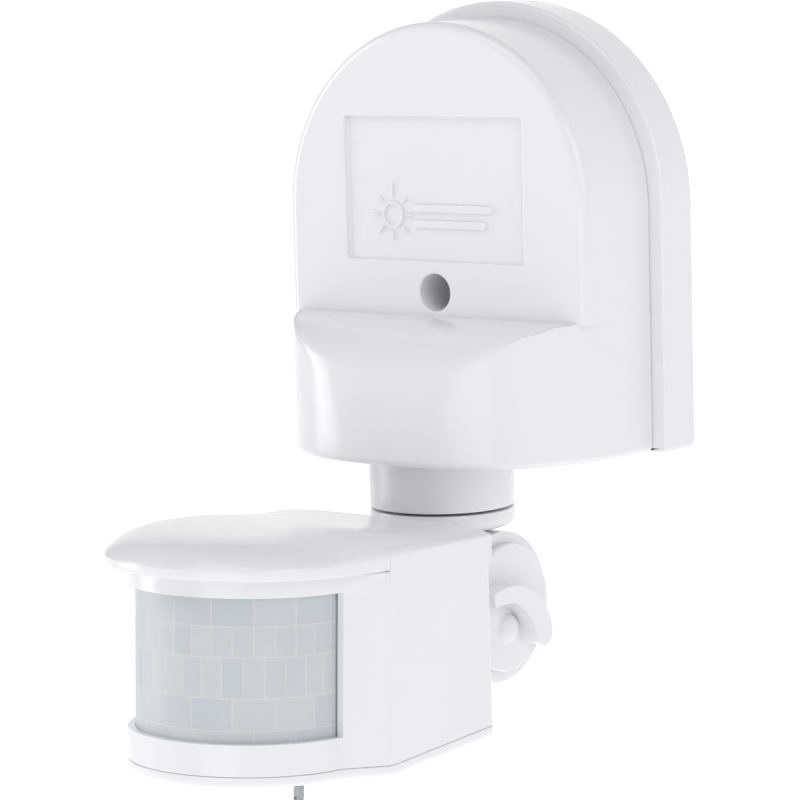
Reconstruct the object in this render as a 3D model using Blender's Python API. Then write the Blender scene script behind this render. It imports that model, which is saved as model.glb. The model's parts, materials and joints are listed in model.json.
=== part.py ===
"""Wall-mounted motion sensor: arched junction box, swivel post, tilting head with visor and half-round lens.

World frame, metres: origin on the wall plane at the middle of the back plate, +Y out of the back into
the wall, -Y towards the viewer, +Z up, +X to the viewer's right. The head is drawn in its own frame,
whose origin is on the tilt axis; the empty "tilt_axis" holds its resting angle.
"""

import math

import bpy
from mathutils import Vector

for stale in list(bpy.data.objects):
    bpy.data.objects.remove(stale, do_unlink=True)

MM = 0.001

# ---------------------------------------------------------------- sizes in millimetres
FIT = 0.3  # clearance between two pieces that meet
SEGS = 48  # segments of a large round

# junction box
PLATE_HALF = 41.0
PLATE_DEPTH = 10.5
PLATE_SKIN = 2.4
PLATE_CAVITY_INSET = 7.2
PLATE_EDGE = 0.7
ARCH_Z = 3.8
FOOT_Z = -46.0
COVER_HALF = 37.6
COVER_WALL = 2.2
COVER_FACE_Y = -32.7
COVER_FILLET = 2.2
LEDGE_Z = -17.9
BELLY_Y = -14.0
BELLY_DEPTH = 38.3
BELLY_POWER = 2.5
BELLY_SHOULDER_Z = -32.0
LABEL_HALF = 22.3
LABEL_TOP = 22.4
LABEL_BOTTOM = -6.8
LABEL_DEPTH = 0.9
ACCESS_Z = -13.1
ACCESS_R = 3.8
ACCESS_TUBE_R = 5.8
ACCESS_SEAT_Y = -17.0
ACCESS_END_Y = -13.6
SCREW_R = 1.6
SCREW_HEAD_R = 3.3
SCREW_HEAD_H = 2.2
SCREW_TIP_Y = -5.4
BOSS_R = 5.2
SEAL_OUTER_INSET = 0.5
SEAL_INNER_INSET = 1.7
SEAL_DEEP = 1.3
GROMMET_Z = 14.0
GROMMET_HOLE_R = 7.0
GROMMET_FLANGE_R = 8.8
GROMMET_BORE_R = 3.4
WALL_HOLE_R = 2.4
WALL_HOLE_ZS = (35.0, -37.5)
BLOCK_HALF = 17.0
BLOCK_LOW = -33.6
BLOCK_HIGH = -21.6
BLOCK_DEEP = 12.0
BLOCK_WAYS = 3
BLOCK_PITCH = 10.0
BLOCK_SCREW_R = 1.6

# post
POST_Y = -31.7
POST_R = 14.8
POST_NECK_R = 11.0
POST_END_Z = -56.3
POST_TOP_Z = -38.5
POST_BORE_R = 8.3
NUT_R = 15.0
NUT_H = 4.0

# swivel arm
SPIGOT_R = 8.0
SPIGOT_TOP_Z = -36.0
WIRE_R = 3.6
COLLAR_TOP_Z = -56.8
COLLAR_BOTTOM_Z = -60.5
COLLAR_ROUND = 1.8
CLIP_T = 1.0
CLIP_OUTER_R = 10.4
CLIP_GROOVE_R = 7.2
TILT_Z = -76.4
LUG_HALF = 4.7
LUG_R = 14.0
NECK_HALF_Y = 8.5

# fork, bolt and clamp knob
DISC_T = 0.8
DISC_R = 12.0
FORK_R = 15.3
FORK_OUT_X = 14.4
BOLT_R = 2.5
BOLT_HEAD_FLAT = 8.0
BOLT_HEAD_H = 3.4
BOLT_END_X = 15.6
HUB_POCKET_R = 6.8
HUB_POCKET_DEEP = 3.9
NUT_FLAT = 8.0
NUT_T = 3.4
KNOB_R = 13.0
KNOB_T = 1.9
KNOB_HUB_R = 6.4
KNOB_RIB_H = 4.5
KNOB_RIB_LINE = (  # y, z and half thickness along the curved grip
    (-11.4, 2.9, 1.4),
    (-8.5, 3.5, 1.6),
    (-5.0, 3.6, 1.75),
    (-2.0, 2.9, 1.95),
    (1.0, 1.4, 2.2),
    (3.4, -0.6, 2.5),
    (5.1, -3.0, 2.7),
    (5.8, -5.2, 2.7),
)
KNOB_DOME_R = 3.0
KNOB_DOME_Y = -0.9
KNOB_DOME_Z = -4.2
KNOB_DOME_H = 1.8
WASHER_R = 6.0
WASHER_T = 0.6

# head, in its own frame (origin on the tilt axis)
REST_TILT_DEG = -2.8
LENS_Y = -62.2
LENS_R = 21.3
LENS_T = 0.8
LENS_TOP = 10.6
LENS_BOTTOM = -16.8
LENS_TUCK = 1.0
BAND_R = 23.0
SIDE_HALF = 28.0
SIDE_FRONT_Y = -54.0
HEAD_REAR_Y = -22.0
HEAD_REAR_LEAN = 0.057
HEAD_WALL = 1.4
HEAD_TOP = 14.1
HEAD_BOTTOM = -25.0
HEAD_REAR_RISE = 3.0
RISE_START_Y = -52.0
COVER_PLATE_T = 2.1
VISOR_Y = -64.0
VISOR_HALF = 27.2
VISOR_DEEP = 25.0
VISOR_RIM = 16.2
VISOR_SLOPE = 0.027
VISOR_CROWN = 4.9
VISOR_CROWN_REAR = 1.4
VISOR_CROWN_POWER = 6.0
VISOR_HOLLOW = 16.8
CROWN_SCALES = (1.0, 0.985, 0.965, 0.94, 0.9, 0.84, 0.76, 0.64, 0.48, 0.28, 0.08)
VISOR_LIP_T = 1.2
VISOR_LIP_H = 1.8

# electronics
BOARD_Y = -55.0
BOARD_T = 1.6
BOARD_HALF = 17.0
BOARD_TOP = 9.5
BOARD_BOTTOM = -17.7
PIR_R = 4.6
PIR_FLANGE_R = 5.1
PIR_H = 4.4
PIR_Z = -3.0
EYE_R = 2.5
EYE_H = 2.2
EYE_X = 11.5
LAMP_R = 1.5
LAMP_H = 5.0
POWER_TOP = -18.3
POWER_T = 1.6
POWER_HALF = 19.5
POWER_FRONT_HALF = 17.0
POWER_FRONT_Y = -70.0
POWER_STEP_Y = -60.0
POWER_REAR_Y = -30.0
RELAY_SIZE = (14.0, 18.0, 15.0)
RELAY_X = -10.0
CAP_SIZE = (6.0, 13.0, 11.0)
CAP_X = 3.5
CAN_R = 4.5
CAN_H = 13.0
CAN_X = 13.0
PARTS_Y = -42.0
ADJUSTERS = (("time", -16.5, -67.0, 0.0), ("lux", 0.0, -73.0, 0.0), ("range", 16.5, -67.0, 3.9))
ADJUSTER_CAP_R = 2.6
ADJUSTER_CAP_T = 1.9
ADJUSTER_PEG_R = 1.0
POT_HALF = 2.6
POT_H = 2.2
PLATE_SCREW_X = 23.2
PLATE_SCREW_YS = (-50.0, -28.0)
PLATE_SCREW_R = 1.0
PLATE_SCREW_LONG = 6.0
PLATE_SCREW_HEAD_R = 2.0
PLATE_SCREW_HEAD_H = 1.0
PLATE_SCREW_SINK = 1.2
PLATE_BOSS_R = 2.6

RIM_Y = -PLATE_DEPTH
COVER_BACK_Y = RIM_Y - FIT
FORK_IN_X = LUG_HALF + FIT + DISC_T + FIT
KNOB_X = FORK_OUT_X + FIT


# ---------------------------------------------------------------- helpers
def empty(name, at, parent=None, tilt_deg=0.0):
    obj = bpy.data.objects.new(name, None)
    bpy.context.scene.collection.objects.link(obj)
    obj.empty_display_size = 0.01
    obj.location = Vector(at) * MM
    obj.rotation_euler = (math.radians(tilt_deg), 0.0, 0.0)
    obj.parent = parent
    return obj


def material(name, colour, roughness, metallic=0.0, transmission=0.0):
    mat = bpy.data.materials.new(name)
    mat.use_nodes = True
    shader = mat.node_tree.nodes["Principled BSDF"]
    shader.inputs["Base Color"].default_value = (*colour, 1.0)
    shader.inputs["Roughness"].default_value = roughness
    shader.inputs["Metallic"].default_value = metallic
    shader.inputs["Transmission Weight"].default_value = transmission
    return mat


def solid(name, points, faces, parent=None, at=(0.0, 0.0, 0.0)):
    """A mesh object whose points are given in the parent's frame and whose origin is at `at` in it."""
    base = Vector(at)
    mesh = bpy.data.meshes.new(name)
    mesh.from_pydata([(Vector(p) - base) * MM for p in points], [], faces)
    mesh.validate()
    mesh.update()
    obj = bpy.data.objects.new(name, mesh)
    bpy.context.scene.collection.objects.link(obj)
    obj.location = base * MM
    obj.parent = parent
    return obj


def volume(points, faces):
    total = 0.0
    for face in faces:
        a = Vector(points[face[0]])
        for i in range(1, len(face) - 1):
            total += a.dot(Vector(points[face[i]]).cross(Vector(points[face[i + 1]])))
    return total


def loft(name, rings, parent=None, at=(0.0, 0.0, 0.0)):
    """Rings of equal length joined in order, both ends closed."""
    count = len(rings[0])
    points = [p for ring in rings for p in ring]
    faces = []
    for k in range(len(rings) - 1):
        for i in range(count):
            j = (i + 1) % count
            faces.append((k * count + i, k * count + j, (k + 1) * count + j, (k + 1) * count + i))
    faces.append(tuple(reversed(range(count))))
    faces.append(tuple(range((len(rings) - 1) * count, len(rings) * count)))
    if volume(points, faces) < 0:
        faces = [tuple(reversed(face)) for face in faces]
    return solid(name, points, faces, parent, at)


def prism(name, outline, axis, low, high, parent=None, at=(0.0, 0.0, 0.0)):
    """An outline across `axis`, as (y, z), (x, z) or (x, y) pairs, extruded from low to high."""
    place = {
        "X": lambda p, t: (t, p[0], p[1]),
        "Y": lambda p, t: (p[0], t, p[1]),
        "Z": lambda p, t: (p[0], p[1], t),
    }
    rings = [[place[axis](p, t) for p in outline] for t in (low, high)]
    return loft(name, rings, parent, at)


def box(name, low, high, parent=None, at=(0.0, 0.0, 0.0)):
    outline = [(low[0], low[1]), (high[0], low[1]), (high[0], high[1]), (low[0], high[1])]
    return prism(name, outline, "Z", low[2], high[2], parent, at)


def turned(name, profile, axis, centre, parent=None, at=(0.0, 0.0, 0.0), segs=SEGS):
    """A closed profile of (radius, along) pairs turned about an axis through `centre`. Radius 0 is a pole."""
    place = {
        "X": lambda r, t, a: (t, centre[1] + r * math.cos(a), centre[2] + r * math.sin(a)),
        "Y": lambda r, t, a: (centre[0] + r * math.cos(a), t, centre[2] + r * math.sin(a)),
        "Z": lambda r, t, a: (centre[0] + r * math.cos(a), centre[1] + r * math.sin(a), t),
    }[axis]
    points = []
    index = []
    for radius, along in profile:
        if radius < 1e-6:
            index.append([len(points)] * segs)
            points.append(place(0.0, along, 0.0))
            continue
        index.append([len(points) + i for i in range(segs)])
        for i in range(segs):
            points.append(place(radius, along, 2 * math.pi * i / segs))
    faces = []
    closed = all(radius > 1e-6 for radius, _ in profile)
    for k in range(len(profile) if closed else len(profile) - 1):
        one = index[k]
        two = index[(k + 1) % len(profile)]
        for i in range(segs):
            j = (i + 1) % segs
            face = []
            for v in (one[i], one[j], two[j], two[i]):
                if v not in face:
                    face.append(v)
            if len(face) > 2:
                faces.append(tuple(face))
    if volume(points, faces) < 0:
        faces = [tuple(reversed(face)) for face in faces]
    return solid(name, points, faces, parent, at)


def rod(name, axis, centre, radius, low, high, parent=None, segs=32, at=(0.0, 0.0, 0.0)):
    return turned(name, [(0, low), (radius, low), (radius, high), (0, high)], axis, centre, parent, at, segs)


def boolean(target, tool, operation):
    tool.hide_render = True
    tool.display_type = "WIRE"
    mod = target.modifiers.new(tool.name, "BOOLEAN")
    mod.operation = operation
    mod.solver = "EXACT"
    mod.object = tool


def cut(target, *tools):
    for tool in tools:
        boolean(target, tool, "DIFFERENCE")


def add(target, *tools):
    for tool in tools:
        boolean(target, tool, "UNION")


def paint(mat, *objects):
    for obj in objects:
        obj.data.materials.clear()
        obj.data.materials.append(mat)


# ---------------------------------------------------------------- outlines
def arched(half, foot, steps=SEGS // 2, foot_round=0.0):
    """The arched outline in (x, z), from the lower right corner round the arch to the lower left."""
    outline = []
    if foot_round:
        outline += [(half - foot_round, foot)]
    outline += [(half, foot + foot_round)]
    for k in range(steps + 1):
        angle = math.pi * k / steps
        outline.append((half * math.cos(angle), ARCH_Z + half * math.sin(angle)))
    outline.append((-half, foot + foot_round))
    if foot_round:
        outline.append((-half + foot_round, foot))
    return outline


def belly(inset, back_y, steps=36):
    """The plan of the rounded lower front in (x, y), squarer than an ellipse, closed at back_y."""
    half = COVER_HALF - inset
    deep = BELLY_DEPTH - inset
    outline = [(half, back_y)]
    for k in range(steps + 1):
        cosine = math.cos(math.pi * k / steps)
        sine = math.sin(math.pi * k / steps)
        reach = (abs(cosine / half) ** BELLY_POWER + abs(sine / deep) ** BELLY_POWER) ** (-1 / BELLY_POWER)
        outline.append((reach * cosine, BELLY_Y - reach * sine))
    outline.append((-half, back_y))
    return outline


def shoulder(inset, back_y, top_z, low_z, steps=14):
    """The side profile of the lower front in (y, z): a quarter ellipse from the ledge down to the belly."""
    reach = BELLY_Y - BELLY_DEPTH - COVER_FACE_Y
    drop = LEDGE_Z - BELLY_SHOULDER_Z
    front = COVER_FACE_Y + reach - 6.0
    outline = [
        (back_y, low_z), (back_y, top_z), (COVER_FACE_Y + 0.6, top_z), (COVER_FACE_Y + 0.6, LEDGE_Z - inset)
    ]
    for k in range(steps + 1):
        angle = math.pi / 2 * k / steps
        outline.append(
            (
                COVER_FACE_Y + (reach + inset) * math.sin(angle),
                BELLY_SHOULDER_Z + (drop - inset) * math.cos(angle),
            )
        )
    if inset:
        return outline + [(outline[-1][0], low_z)]
    return outline + [(front, BELLY_SHOULDER_Z - 0.5), (front, low_z)]


def head_plan(inset, z=HEAD_TOP, steps=30):
    """The plan of the head in (x, y) at height z: half-round front, slanted cheeks, flat leaning rear."""
    radius = BAND_R - inset
    side = SIDE_HALF - inset
    cheek = SIDE_FRONT_Y + 0.45 * inset
    corner = 1.6
    rear = HEAD_REAR_Y - inset + HEAD_REAR_LEAN * max(0.0, HEAD_TOP - z)
    outline = [(side - corner, rear), (side - 0.35 * corner, rear - 0.35 * corner), (side, rear - corner)]
    outline += [(side, RISE_START_Y + 0.5), (side, cheek)]
    for k in range(steps + 1):
        angle = math.pi * k / steps
        outline.append((radius * math.cos(angle), LENS_Y - radius * math.sin(angle)))
    outline += [(-side, cheek), (-side, RISE_START_Y + 0.5)]
    outline += [(-side, rear - corner), (-side + 0.35 * corner, rear - 0.35 * corner), (-side + corner, rear)]
    return outline


def crown_ring(scale, inset=0.0, flat=None, steps=36):
    """One ring of the crowned top, `scale` of the way out from its middle; level at `flat` if given."""
    front = VISOR_Y - VISOR_DEEP
    places = []
    for y in (HEAD_REAR_Y, -28.0, -36.0, -45.0, SIDE_FRONT_Y, -57.0, -60.5):
        spread = min(1.0, (y - VISOR_Y) / (SIDE_FRONT_Y - VISOR_Y))
        places.append((VISOR_HALF + (SIDE_HALF - VISOR_HALF) * spread, y))
    outline = [(scale * (half - inset), y) for half, y in places]
    for k in range(steps + 1):
        angle = math.pi * k / steps
        deep = scale * (VISOR_DEEP - inset)
        outline.append((scale * (VISOR_HALF - inset) * math.cos(angle), VISOR_Y - deep * math.sin(angle)))
    outline += [(-scale * (half - inset), y) for half, y in reversed(places)]
    ring = []
    for x, y in outline:
        back = max(0.0, (y - VISOR_Y) / (HEAD_REAR_Y - VISOR_Y))
        crown = VISOR_CROWN + (VISOR_CROWN_REAR - VISOR_CROWN) * back
        z = VISOR_RIM + VISOR_SLOPE * (y - front) + crown * (1.0 - scale**VISOR_CROWN_POWER)
        ring.append((x, y, z if flat is None else flat))
    return ring


def crown(name, low, parent):
    """The crowned top of the head from the level `low` up, before it is parted into lid and walls."""
    rings = [crown_ring(1.0, 0.6, low), crown_ring(1.0, 0.0, low + 0.5)]
    rings += [crown_ring(scale) for scale in CROWN_SCALES]
    return loft(name, rings, parent)


def wall_run(gap):
    """The U of the head's side and rear walls in (x, y), its inner face moved in by `gap`."""
    outer = SIDE_HALF + (3.0 if gap else 0.0)
    inner = SIDE_HALF - HEAD_WALL - gap
    rear = HEAD_REAR_Y + (3.0 if gap else 0.0)
    front = SIDE_FRONT_Y - gap
    outline = [(outer, front), (outer, rear), (-outer, rear), (-outer, front), (-inner, front)]
    return outline + [
        (-inner, HEAD_REAR_Y - HEAD_WALL - gap), (inner, HEAD_REAR_Y - HEAD_WALL - gap), (inner, front)
    ]


def at_height(outline, z):
    return [(x, y, z) for x, y in outline]


def floor_at(y):
    """Height of the head's lower face, which rises towards the rear."""
    return HEAD_BOTTOM + HEAD_REAR_RISE * max(0.0, (y - RISE_START_Y) / (HEAD_REAR_Y - RISE_START_Y))


def slope_wedge(name, raised, reach, parent):
    """A wedge along the head's lower face lifted by `raised`: below it if reach < 0, above it if > 0."""
    rear = HEAD_REAR_Y + 6.0
    front = LENS_Y - BAND_R - 5.0
    line = [(y, floor_at(y) + raised) for y in (front, RISE_START_Y, rear)]
    far = HEAD_BOTTOM + raised + reach
    outline = line + [(rear, far), (front, far)]
    return prism(name, outline, "X", -SIDE_HALF - 3.0, SIDE_HALF + 3.0, parent)


# ---------------------------------------------------------------- frames
pan_axis = empty("pan_axis", (0.0, POST_Y, COLLAR_TOP_Z))
tilt_axis = empty("tilt_axis", (0.0, 0.0, TILT_Z - COLLAR_TOP_Z), pan_axis, REST_TILT_DEG)

# ---------------------------------------------------------------- junction box
plate_steps = ((PLATE_EDGE, 0.0), (0.0, -PLATE_EDGE), (0.0, RIM_Y + PLATE_EDGE), (PLATE_EDGE, RIM_Y))
wall_plate = loft(
    "wall_plate",
    [[(x, y, z) for x, z in arched(PLATE_HALF - i, FOOT_Z + i, foot_round=1.2)] for i, y in plate_steps],
)
plate_inner = arched(PLATE_HALF - PLATE_CAVITY_INSET, FOOT_Z + PLATE_CAVITY_INSET - 2.6, foot_round=1.0)
cut(wall_plate, prism("cut_plate_cavity", plate_inner, "Y", -PLATE_SKIN, RIM_Y - 1.0))
add(wall_plate, rod("add_plate_boss", "Y", (0, 0, ACCESS_Z), BOSS_R, -1.0, ACCESS_END_Y + FIT))
cut(
    wall_plate,
    rod("cut_plate_pilot", "Y", (0, 0, ACCESS_Z), SCREW_R + FIT, -PLATE_SKIN - 1.4, ACCESS_END_Y - 1.0),
)
cut(wall_plate, rod("cut_plate_entry", "Y", (0, 0, GROMMET_Z), GROMMET_HOLE_R, 1.0, -PLATE_SKIN - 1.0))
for place_no, hole_z in enumerate(WALL_HOLE_ZS):
    cut(
        wall_plate,
        rod(f"cut_plate_hole_{place_no}", "Y", (0, 0, hole_z), WALL_HOLE_R, 1.0, -PLATE_SKIN - 1.0, segs=20),
    )
groove_y = RIM_Y + SEAL_DEEP + FIT
groove = prism(
    "cut_plate_groove",
    arched(COVER_HALF - SEAL_OUTER_INSET + FIT, FOOT_Z + SEAL_OUTER_INSET - FIT),
    "Y",
    groove_y,
    RIM_Y - 1.0,
)
groove_core = prism(
    "core_plate_groove",
    arched(COVER_HALF - SEAL_INNER_INSET - FIT, FOOT_Z + SEAL_INNER_INSET + FIT),
    "Y",
    groove_y + 1.0,
    RIM_Y - 2.0,
)
cut(groove, groove_core)
cut(wall_plate, groove)

cover_seal = prism(
    "cover_seal",
    arched(COVER_HALF - SEAL_OUTER_INSET, FOOT_Z + SEAL_OUTER_INSET),
    "Y",
    RIM_Y + SEAL_DEEP,
    RIM_Y,
)
seal_core = arched(COVER_HALF - SEAL_INNER_INSET, FOOT_Z + SEAL_INNER_INSET)
cut(cover_seal, prism("cut_seal_core", seal_core, "Y", RIM_Y + SEAL_DEEP + 1.0, RIM_Y - 1.0))

cover_rings = []
for inset, y in ((0.0, COVER_BACK_Y), (0.0, COVER_FACE_Y + COVER_FILLET)):
    cover_rings.append([(x, y, z) for x, z in arched(COVER_HALF - inset, LEDGE_Z)])
for k in range(1, 5):
    turn = math.pi / 2 * k / 4
    inset = COVER_FILLET * (1 - math.cos(turn))
    y = COVER_FACE_Y + COVER_FILLET * (1 - math.sin(turn))
    cover_rings.append([(x, y, z) for x, z in arched(COVER_HALF - inset, LEDGE_Z)])
front_cover = loft("front_cover", cover_rings)
belly_steps = ((1.0, FOOT_Z), (0.3, FOOT_Z + 0.3), (0.0, FOOT_Z + 1.0), (0.0, LEDGE_Z + 1.0))
lower_front = loft("add_lower_front", [at_height(belly(i, COVER_BACK_Y), z) for i, z in belly_steps])
keep_profile = shoulder(0.0, COVER_BACK_Y + 1.0, LEDGE_Z + 3.0, FOOT_Z - 1.0)
boolean(
    lower_front, prism("keep_lower_front", keep_profile, "X", -COVER_HALF - 2, COVER_HALF + 2), "INTERSECT"
)
add(front_cover, lower_front)
cover_inner = arched(COVER_HALF - COVER_WALL, LEDGE_Z - 5.0)
cut(front_cover, prism("cut_cover_upper", cover_inner, "Y", COVER_BACK_Y + 1.0, COVER_FACE_Y + COVER_WALL))
lower_inner = prism(
    "cut_cover_lower", belly(COVER_WALL, COVER_BACK_Y + 1.0), "Z", FOOT_Z + COVER_WALL, LEDGE_Z
)
inner_profile = shoulder(COVER_WALL, COVER_BACK_Y + 2.0, LEDGE_Z - COVER_WALL + 0.01, FOOT_Z)
boolean(lower_inner, prism("keep_cover_lower", inner_profile, "X", -COVER_HALF, COVER_HALF), "INTERSECT")
cut(front_cover, lower_inner)
add(
    front_cover, rod("add_cover_tube", "Y", (0, 0, ACCESS_Z), ACCESS_TUBE_R, COVER_FACE_Y + 1.0, ACCESS_END_Y)
)
cut(
    front_cover,
    rod("cut_cover_access", "Y", (0, 0, ACCESS_Z), ACCESS_R, COVER_FACE_Y - 1.0, ACCESS_SEAT_Y),
    rod("cut_cover_shank", "Y", (0, 0, ACCESS_Z), SCREW_R + 2 * FIT, ACCESS_SEAT_Y - 1.0, ACCESS_END_Y + 1.0),
    rod("cut_cover_post", "Z", (0, POST_Y, 0), POST_NECK_R + FIT, FOOT_Z - 1.0, FOOT_Z + COVER_WALL + 1.0),
    box(
        "cut_cover_label",
        (-LABEL_HALF, COVER_FACE_Y - 1.0, LABEL_BOTTOM),
        (LABEL_HALF, COVER_FACE_Y + LABEL_DEPTH, LABEL_TOP),
    ),
)


def cross_screw(name, axis, centre, shank_r, head_r, head_h, seat, tip, parent=None):
    """A domed screw whose head stands off the seat, away from the tip, with a cross recess."""
    out = 1.0 if seat > tip else -1.0
    seat = seat + out * FIT / 2
    top = seat + out * head_h
    point = tip + out * 0.8 * shank_r
    profile = [(0, tip), (0.35 * shank_r, tip), (shank_r, point), (shank_r, seat), (head_r, seat)]
    profile += [(head_r, seat + out * 0.45 * head_h), (0.8 * head_r, seat + out * 0.85 * head_h), (0, top)]
    screw = turned(name, profile, axis, centre, parent, at=centre_at(axis, centre, seat), segs=24)
    bar = 0.16 * head_r
    reach = 0.62 * head_r
    ends = sorted((top - out * 0.55 * head_h, top + out * 1.0))
    for turn_no, (wide, tall) in enumerate(((bar, reach), (reach, bar))):
        low = [centre[0] - wide, centre[1] - tall, ends[0]]
        high = [centre[0] + wide, centre[1] + tall, ends[1]]
        if axis == "Y":
            low = [centre[0] - wide, ends[0], centre[2] - tall]
            high = [centre[0] + wide, ends[1], centre[2] + tall]
        cut(screw, box(f"cut_{name}_{turn_no}", low, high, parent))
    return screw


def centre_at(axis, centre, along):
    placed = list(centre)
    placed["XYZ".index(axis)] = along
    return tuple(placed)


cover_screw = cross_screw(
    "cover_screw", "Y", (0, 0, ACCESS_Z), SCREW_R, SCREW_HEAD_R, SCREW_HEAD_H, ACCESS_SEAT_Y, SCREW_TIP_Y
)

cable_grommet = turned(
    "cable_grommet",
    [
        (GROMMET_BORE_R, -0.4),
        (GROMMET_HOLE_R - FIT, -0.4),
        (GROMMET_HOLE_R - FIT, -PLATE_SKIN - FIT),
        (GROMMET_FLANGE_R, -PLATE_SKIN - FIT),
        (GROMMET_FLANGE_R, -PLATE_SKIN - FIT - 1.4),
        (GROMMET_BORE_R + 1.6, -PLATE_SKIN - FIT - 3.2),
        (GROMMET_BORE_R, -PLATE_SKIN - FIT - 3.2),
    ],
    "Y",
    (0, 0, GROMMET_Z),
    segs=32,
)

block_back = -PLATE_SKIN - FIT
block_front = block_back - BLOCK_DEEP
terminal_block = box(
    "terminal_block", (-BLOCK_HALF, block_front, BLOCK_LOW), (BLOCK_HALF, block_back, BLOCK_HIGH)
)
block_mid = (BLOCK_LOW + BLOCK_HIGH) / 2
terminal_screws = []
for way in range(BLOCK_WAYS):
    way_x = (way - (BLOCK_WAYS - 1) / 2) * BLOCK_PITCH
    cut(
        terminal_block,
        rod(
            f"cut_block_screw_{way}",
            "Y",
            (way_x, 0, block_mid),
            BLOCK_SCREW_R + 0.8,
            block_front - 1,
            block_front + 7,
            segs=20,
        ),
        rod(
            f"cut_block_wire_{way}",
            "Z",
            (way_x, block_front + 8.0, 0),
            1.9,
            BLOCK_LOW - 1,
            BLOCK_HIGH + 1,
            segs=16,
        ),
    )
    screw = turned(
        f"terminal_screw_{way + 1}",
        [
            (0, block_front + 5.6),
            (BLOCK_SCREW_R, block_front + 5.6),
            (BLOCK_SCREW_R, block_front + 1.6),
            (0, block_front + 1.6),
        ],
        "Y",
        (way_x, 0, block_mid),
        segs=16,
        at=(way_x, block_front + 3.6, block_mid),
    )
    cut(
        screw,
        box(
            f"cut_slot_{way}",
            (way_x - 2, block_front, block_mid - 0.3),
            (way_x + 2, block_front + 2.4, block_mid + 0.3),
        ),
    )
    terminal_screws.append(screw)
for gap_no in range(BLOCK_WAYS - 1):
    gap_x = (gap_no + 1 - BLOCK_WAYS / 2) * BLOCK_PITCH
    cut(
        terminal_block,
        box(
            f"cut_block_gap_{gap_no}",
            (gap_x - 1, block_front - 1, BLOCK_LOW - 1),
            (gap_x + 1, block_front + 4, BLOCK_HIGH + 1),
        ),
    )

# ---------------------------------------------------------------- post
post_centre = (0.0, POST_Y, 0.0)
swivel_post = turned(
    "swivel_post",
    [
        (POST_BORE_R, POST_TOP_Z),
        (POST_NECK_R, POST_TOP_Z),
        (POST_NECK_R, FOOT_Z - FIT),
        (POST_R, FOOT_Z - FIT),
        (POST_R, POST_END_Z + 0.3),
        (POST_R - 0.3, POST_END_Z),
        (POST_BORE_R, POST_END_Z),
    ],
    "Z",
    post_centre,
    at=(0.0, POST_Y, FOOT_Z),
)
nut_low = FOOT_Z + COVER_WALL + FIT
nut_outline = [
    (NUT_R * math.cos(math.pi / 3 * k), POST_Y + NUT_R * math.sin(math.pi / 3 * k)) for k in range(6)
]
post_nut = prism("post_nut", nut_outline, "Z", nut_low, nut_low + NUT_H, at=(0.0, POST_Y, nut_low))
cut(
    post_nut,
    rod("cut_post_nut", "Z", post_centre, POST_NECK_R + FIT, nut_low - 1, nut_low + NUT_H + 1, segs=SEGS),
)

# ---------------------------------------------------------------- swivel arm, drawn about the pan axis
lift = -COLLAR_TOP_Z
hub = (0.0, 0.0, 0.0)
collar_round = [
    (
        POST_R - COLLAR_ROUND * (1 - math.cos(math.pi / 8 * k)),
        COLLAR_BOTTOM_Z + lift + COLLAR_ROUND * (1 - math.sin(math.pi / 8 * k)),
    )
    for k in range(5)
]
clip_low = POST_TOP_Z + FIT + lift
swivel_arm = turned(
    "swivel_arm",
    [(0.0, SPIGOT_TOP_Z + lift), (SPIGOT_R, SPIGOT_TOP_Z + lift), (SPIGOT_R, clip_low + CLIP_T + FIT / 2)]
    + [
        (CLIP_GROOVE_R, clip_low + CLIP_T + FIT / 2),
        (CLIP_GROOVE_R, clip_low - FIT / 2),
        (SPIGOT_R, clip_low - FIT / 2),
    ]
    + [(SPIGOT_R, 0.0), (POST_R - 0.3, 0.0), (POST_R, -0.3)]
    + collar_round
    + [(0.0, COLLAR_BOTTOM_Z + lift)],
    "Z",
    hub,
    pan_axis,
)
tilt_z = TILT_Z + lift
add(
    swivel_arm,
    box(
        "add_arm_neck",
        (-LUG_HALF, -NECK_HALF_Y, tilt_z),
        (LUG_HALF, NECK_HALF_Y, COLLAR_BOTTOM_Z + lift + 1.5),
        pan_axis,
    ),
)
add(swivel_arm, rod("add_arm_lug", "X", (0, 0, tilt_z), LUG_R, -LUG_HALF, LUG_HALF, pan_axis, segs=SEGS))
cut(
    swivel_arm,
    rod("cut_arm_wire", "Z", hub, WIRE_R, tilt_z + 7.5, SPIGOT_TOP_Z + lift + 1.0, pan_axis, segs=24),
    rod("cut_arm_exit", "Y", (0, 0, tilt_z + 9.4), WIRE_R - 0.6, -LUG_R - 2.0, 0.0, pan_axis, segs=24),
    rod("cut_arm_bolt", "X", (0, 0, tilt_z), BOLT_R + FIT, -LUG_HALF - 1, LUG_HALF + 1, pan_axis, segs=24),
)
pan_clip = turned(
    "pan_clip",
    [
        (CLIP_GROOVE_R + FIT, clip_low),
        (CLIP_OUTER_R, clip_low),
        (CLIP_OUTER_R, clip_low + CLIP_T),
        (CLIP_GROOVE_R + FIT, clip_low + CLIP_T),
    ],
    "Z",
    hub,
    pan_axis,
    segs=32,
)
cut(
    pan_clip,
    box("cut_clip_gap", (-3.0, 0.0, clip_low - 1), (3.0, CLIP_OUTER_R + 1, clip_low + CLIP_T + 1), pan_axis),
)
friction_discs = []
for side_name, side in (("left", -1), ("right", 1)):
    near = side * (LUG_HALF + FIT)
    far = side * (LUG_HALF + FIT + DISC_T)
    friction_discs.append(
        turned(
            f"friction_disc_{side_name}",
            [(BOLT_R + FIT, near), (DISC_R, near), (DISC_R, far), (BOLT_R + FIT, far)],
            "X",
            hub,
            tilt_axis,
            segs=32,
        )
    )

# ---------------------------------------------------------------- head housing
def leaning(name, inset, low, high):
    """A solid between two levels that follows the head's plan and the lean of its rear."""
    return loft(name, [at_height(head_plan(inset, z), z) for z in (low, high)], tilt_axis)


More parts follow.
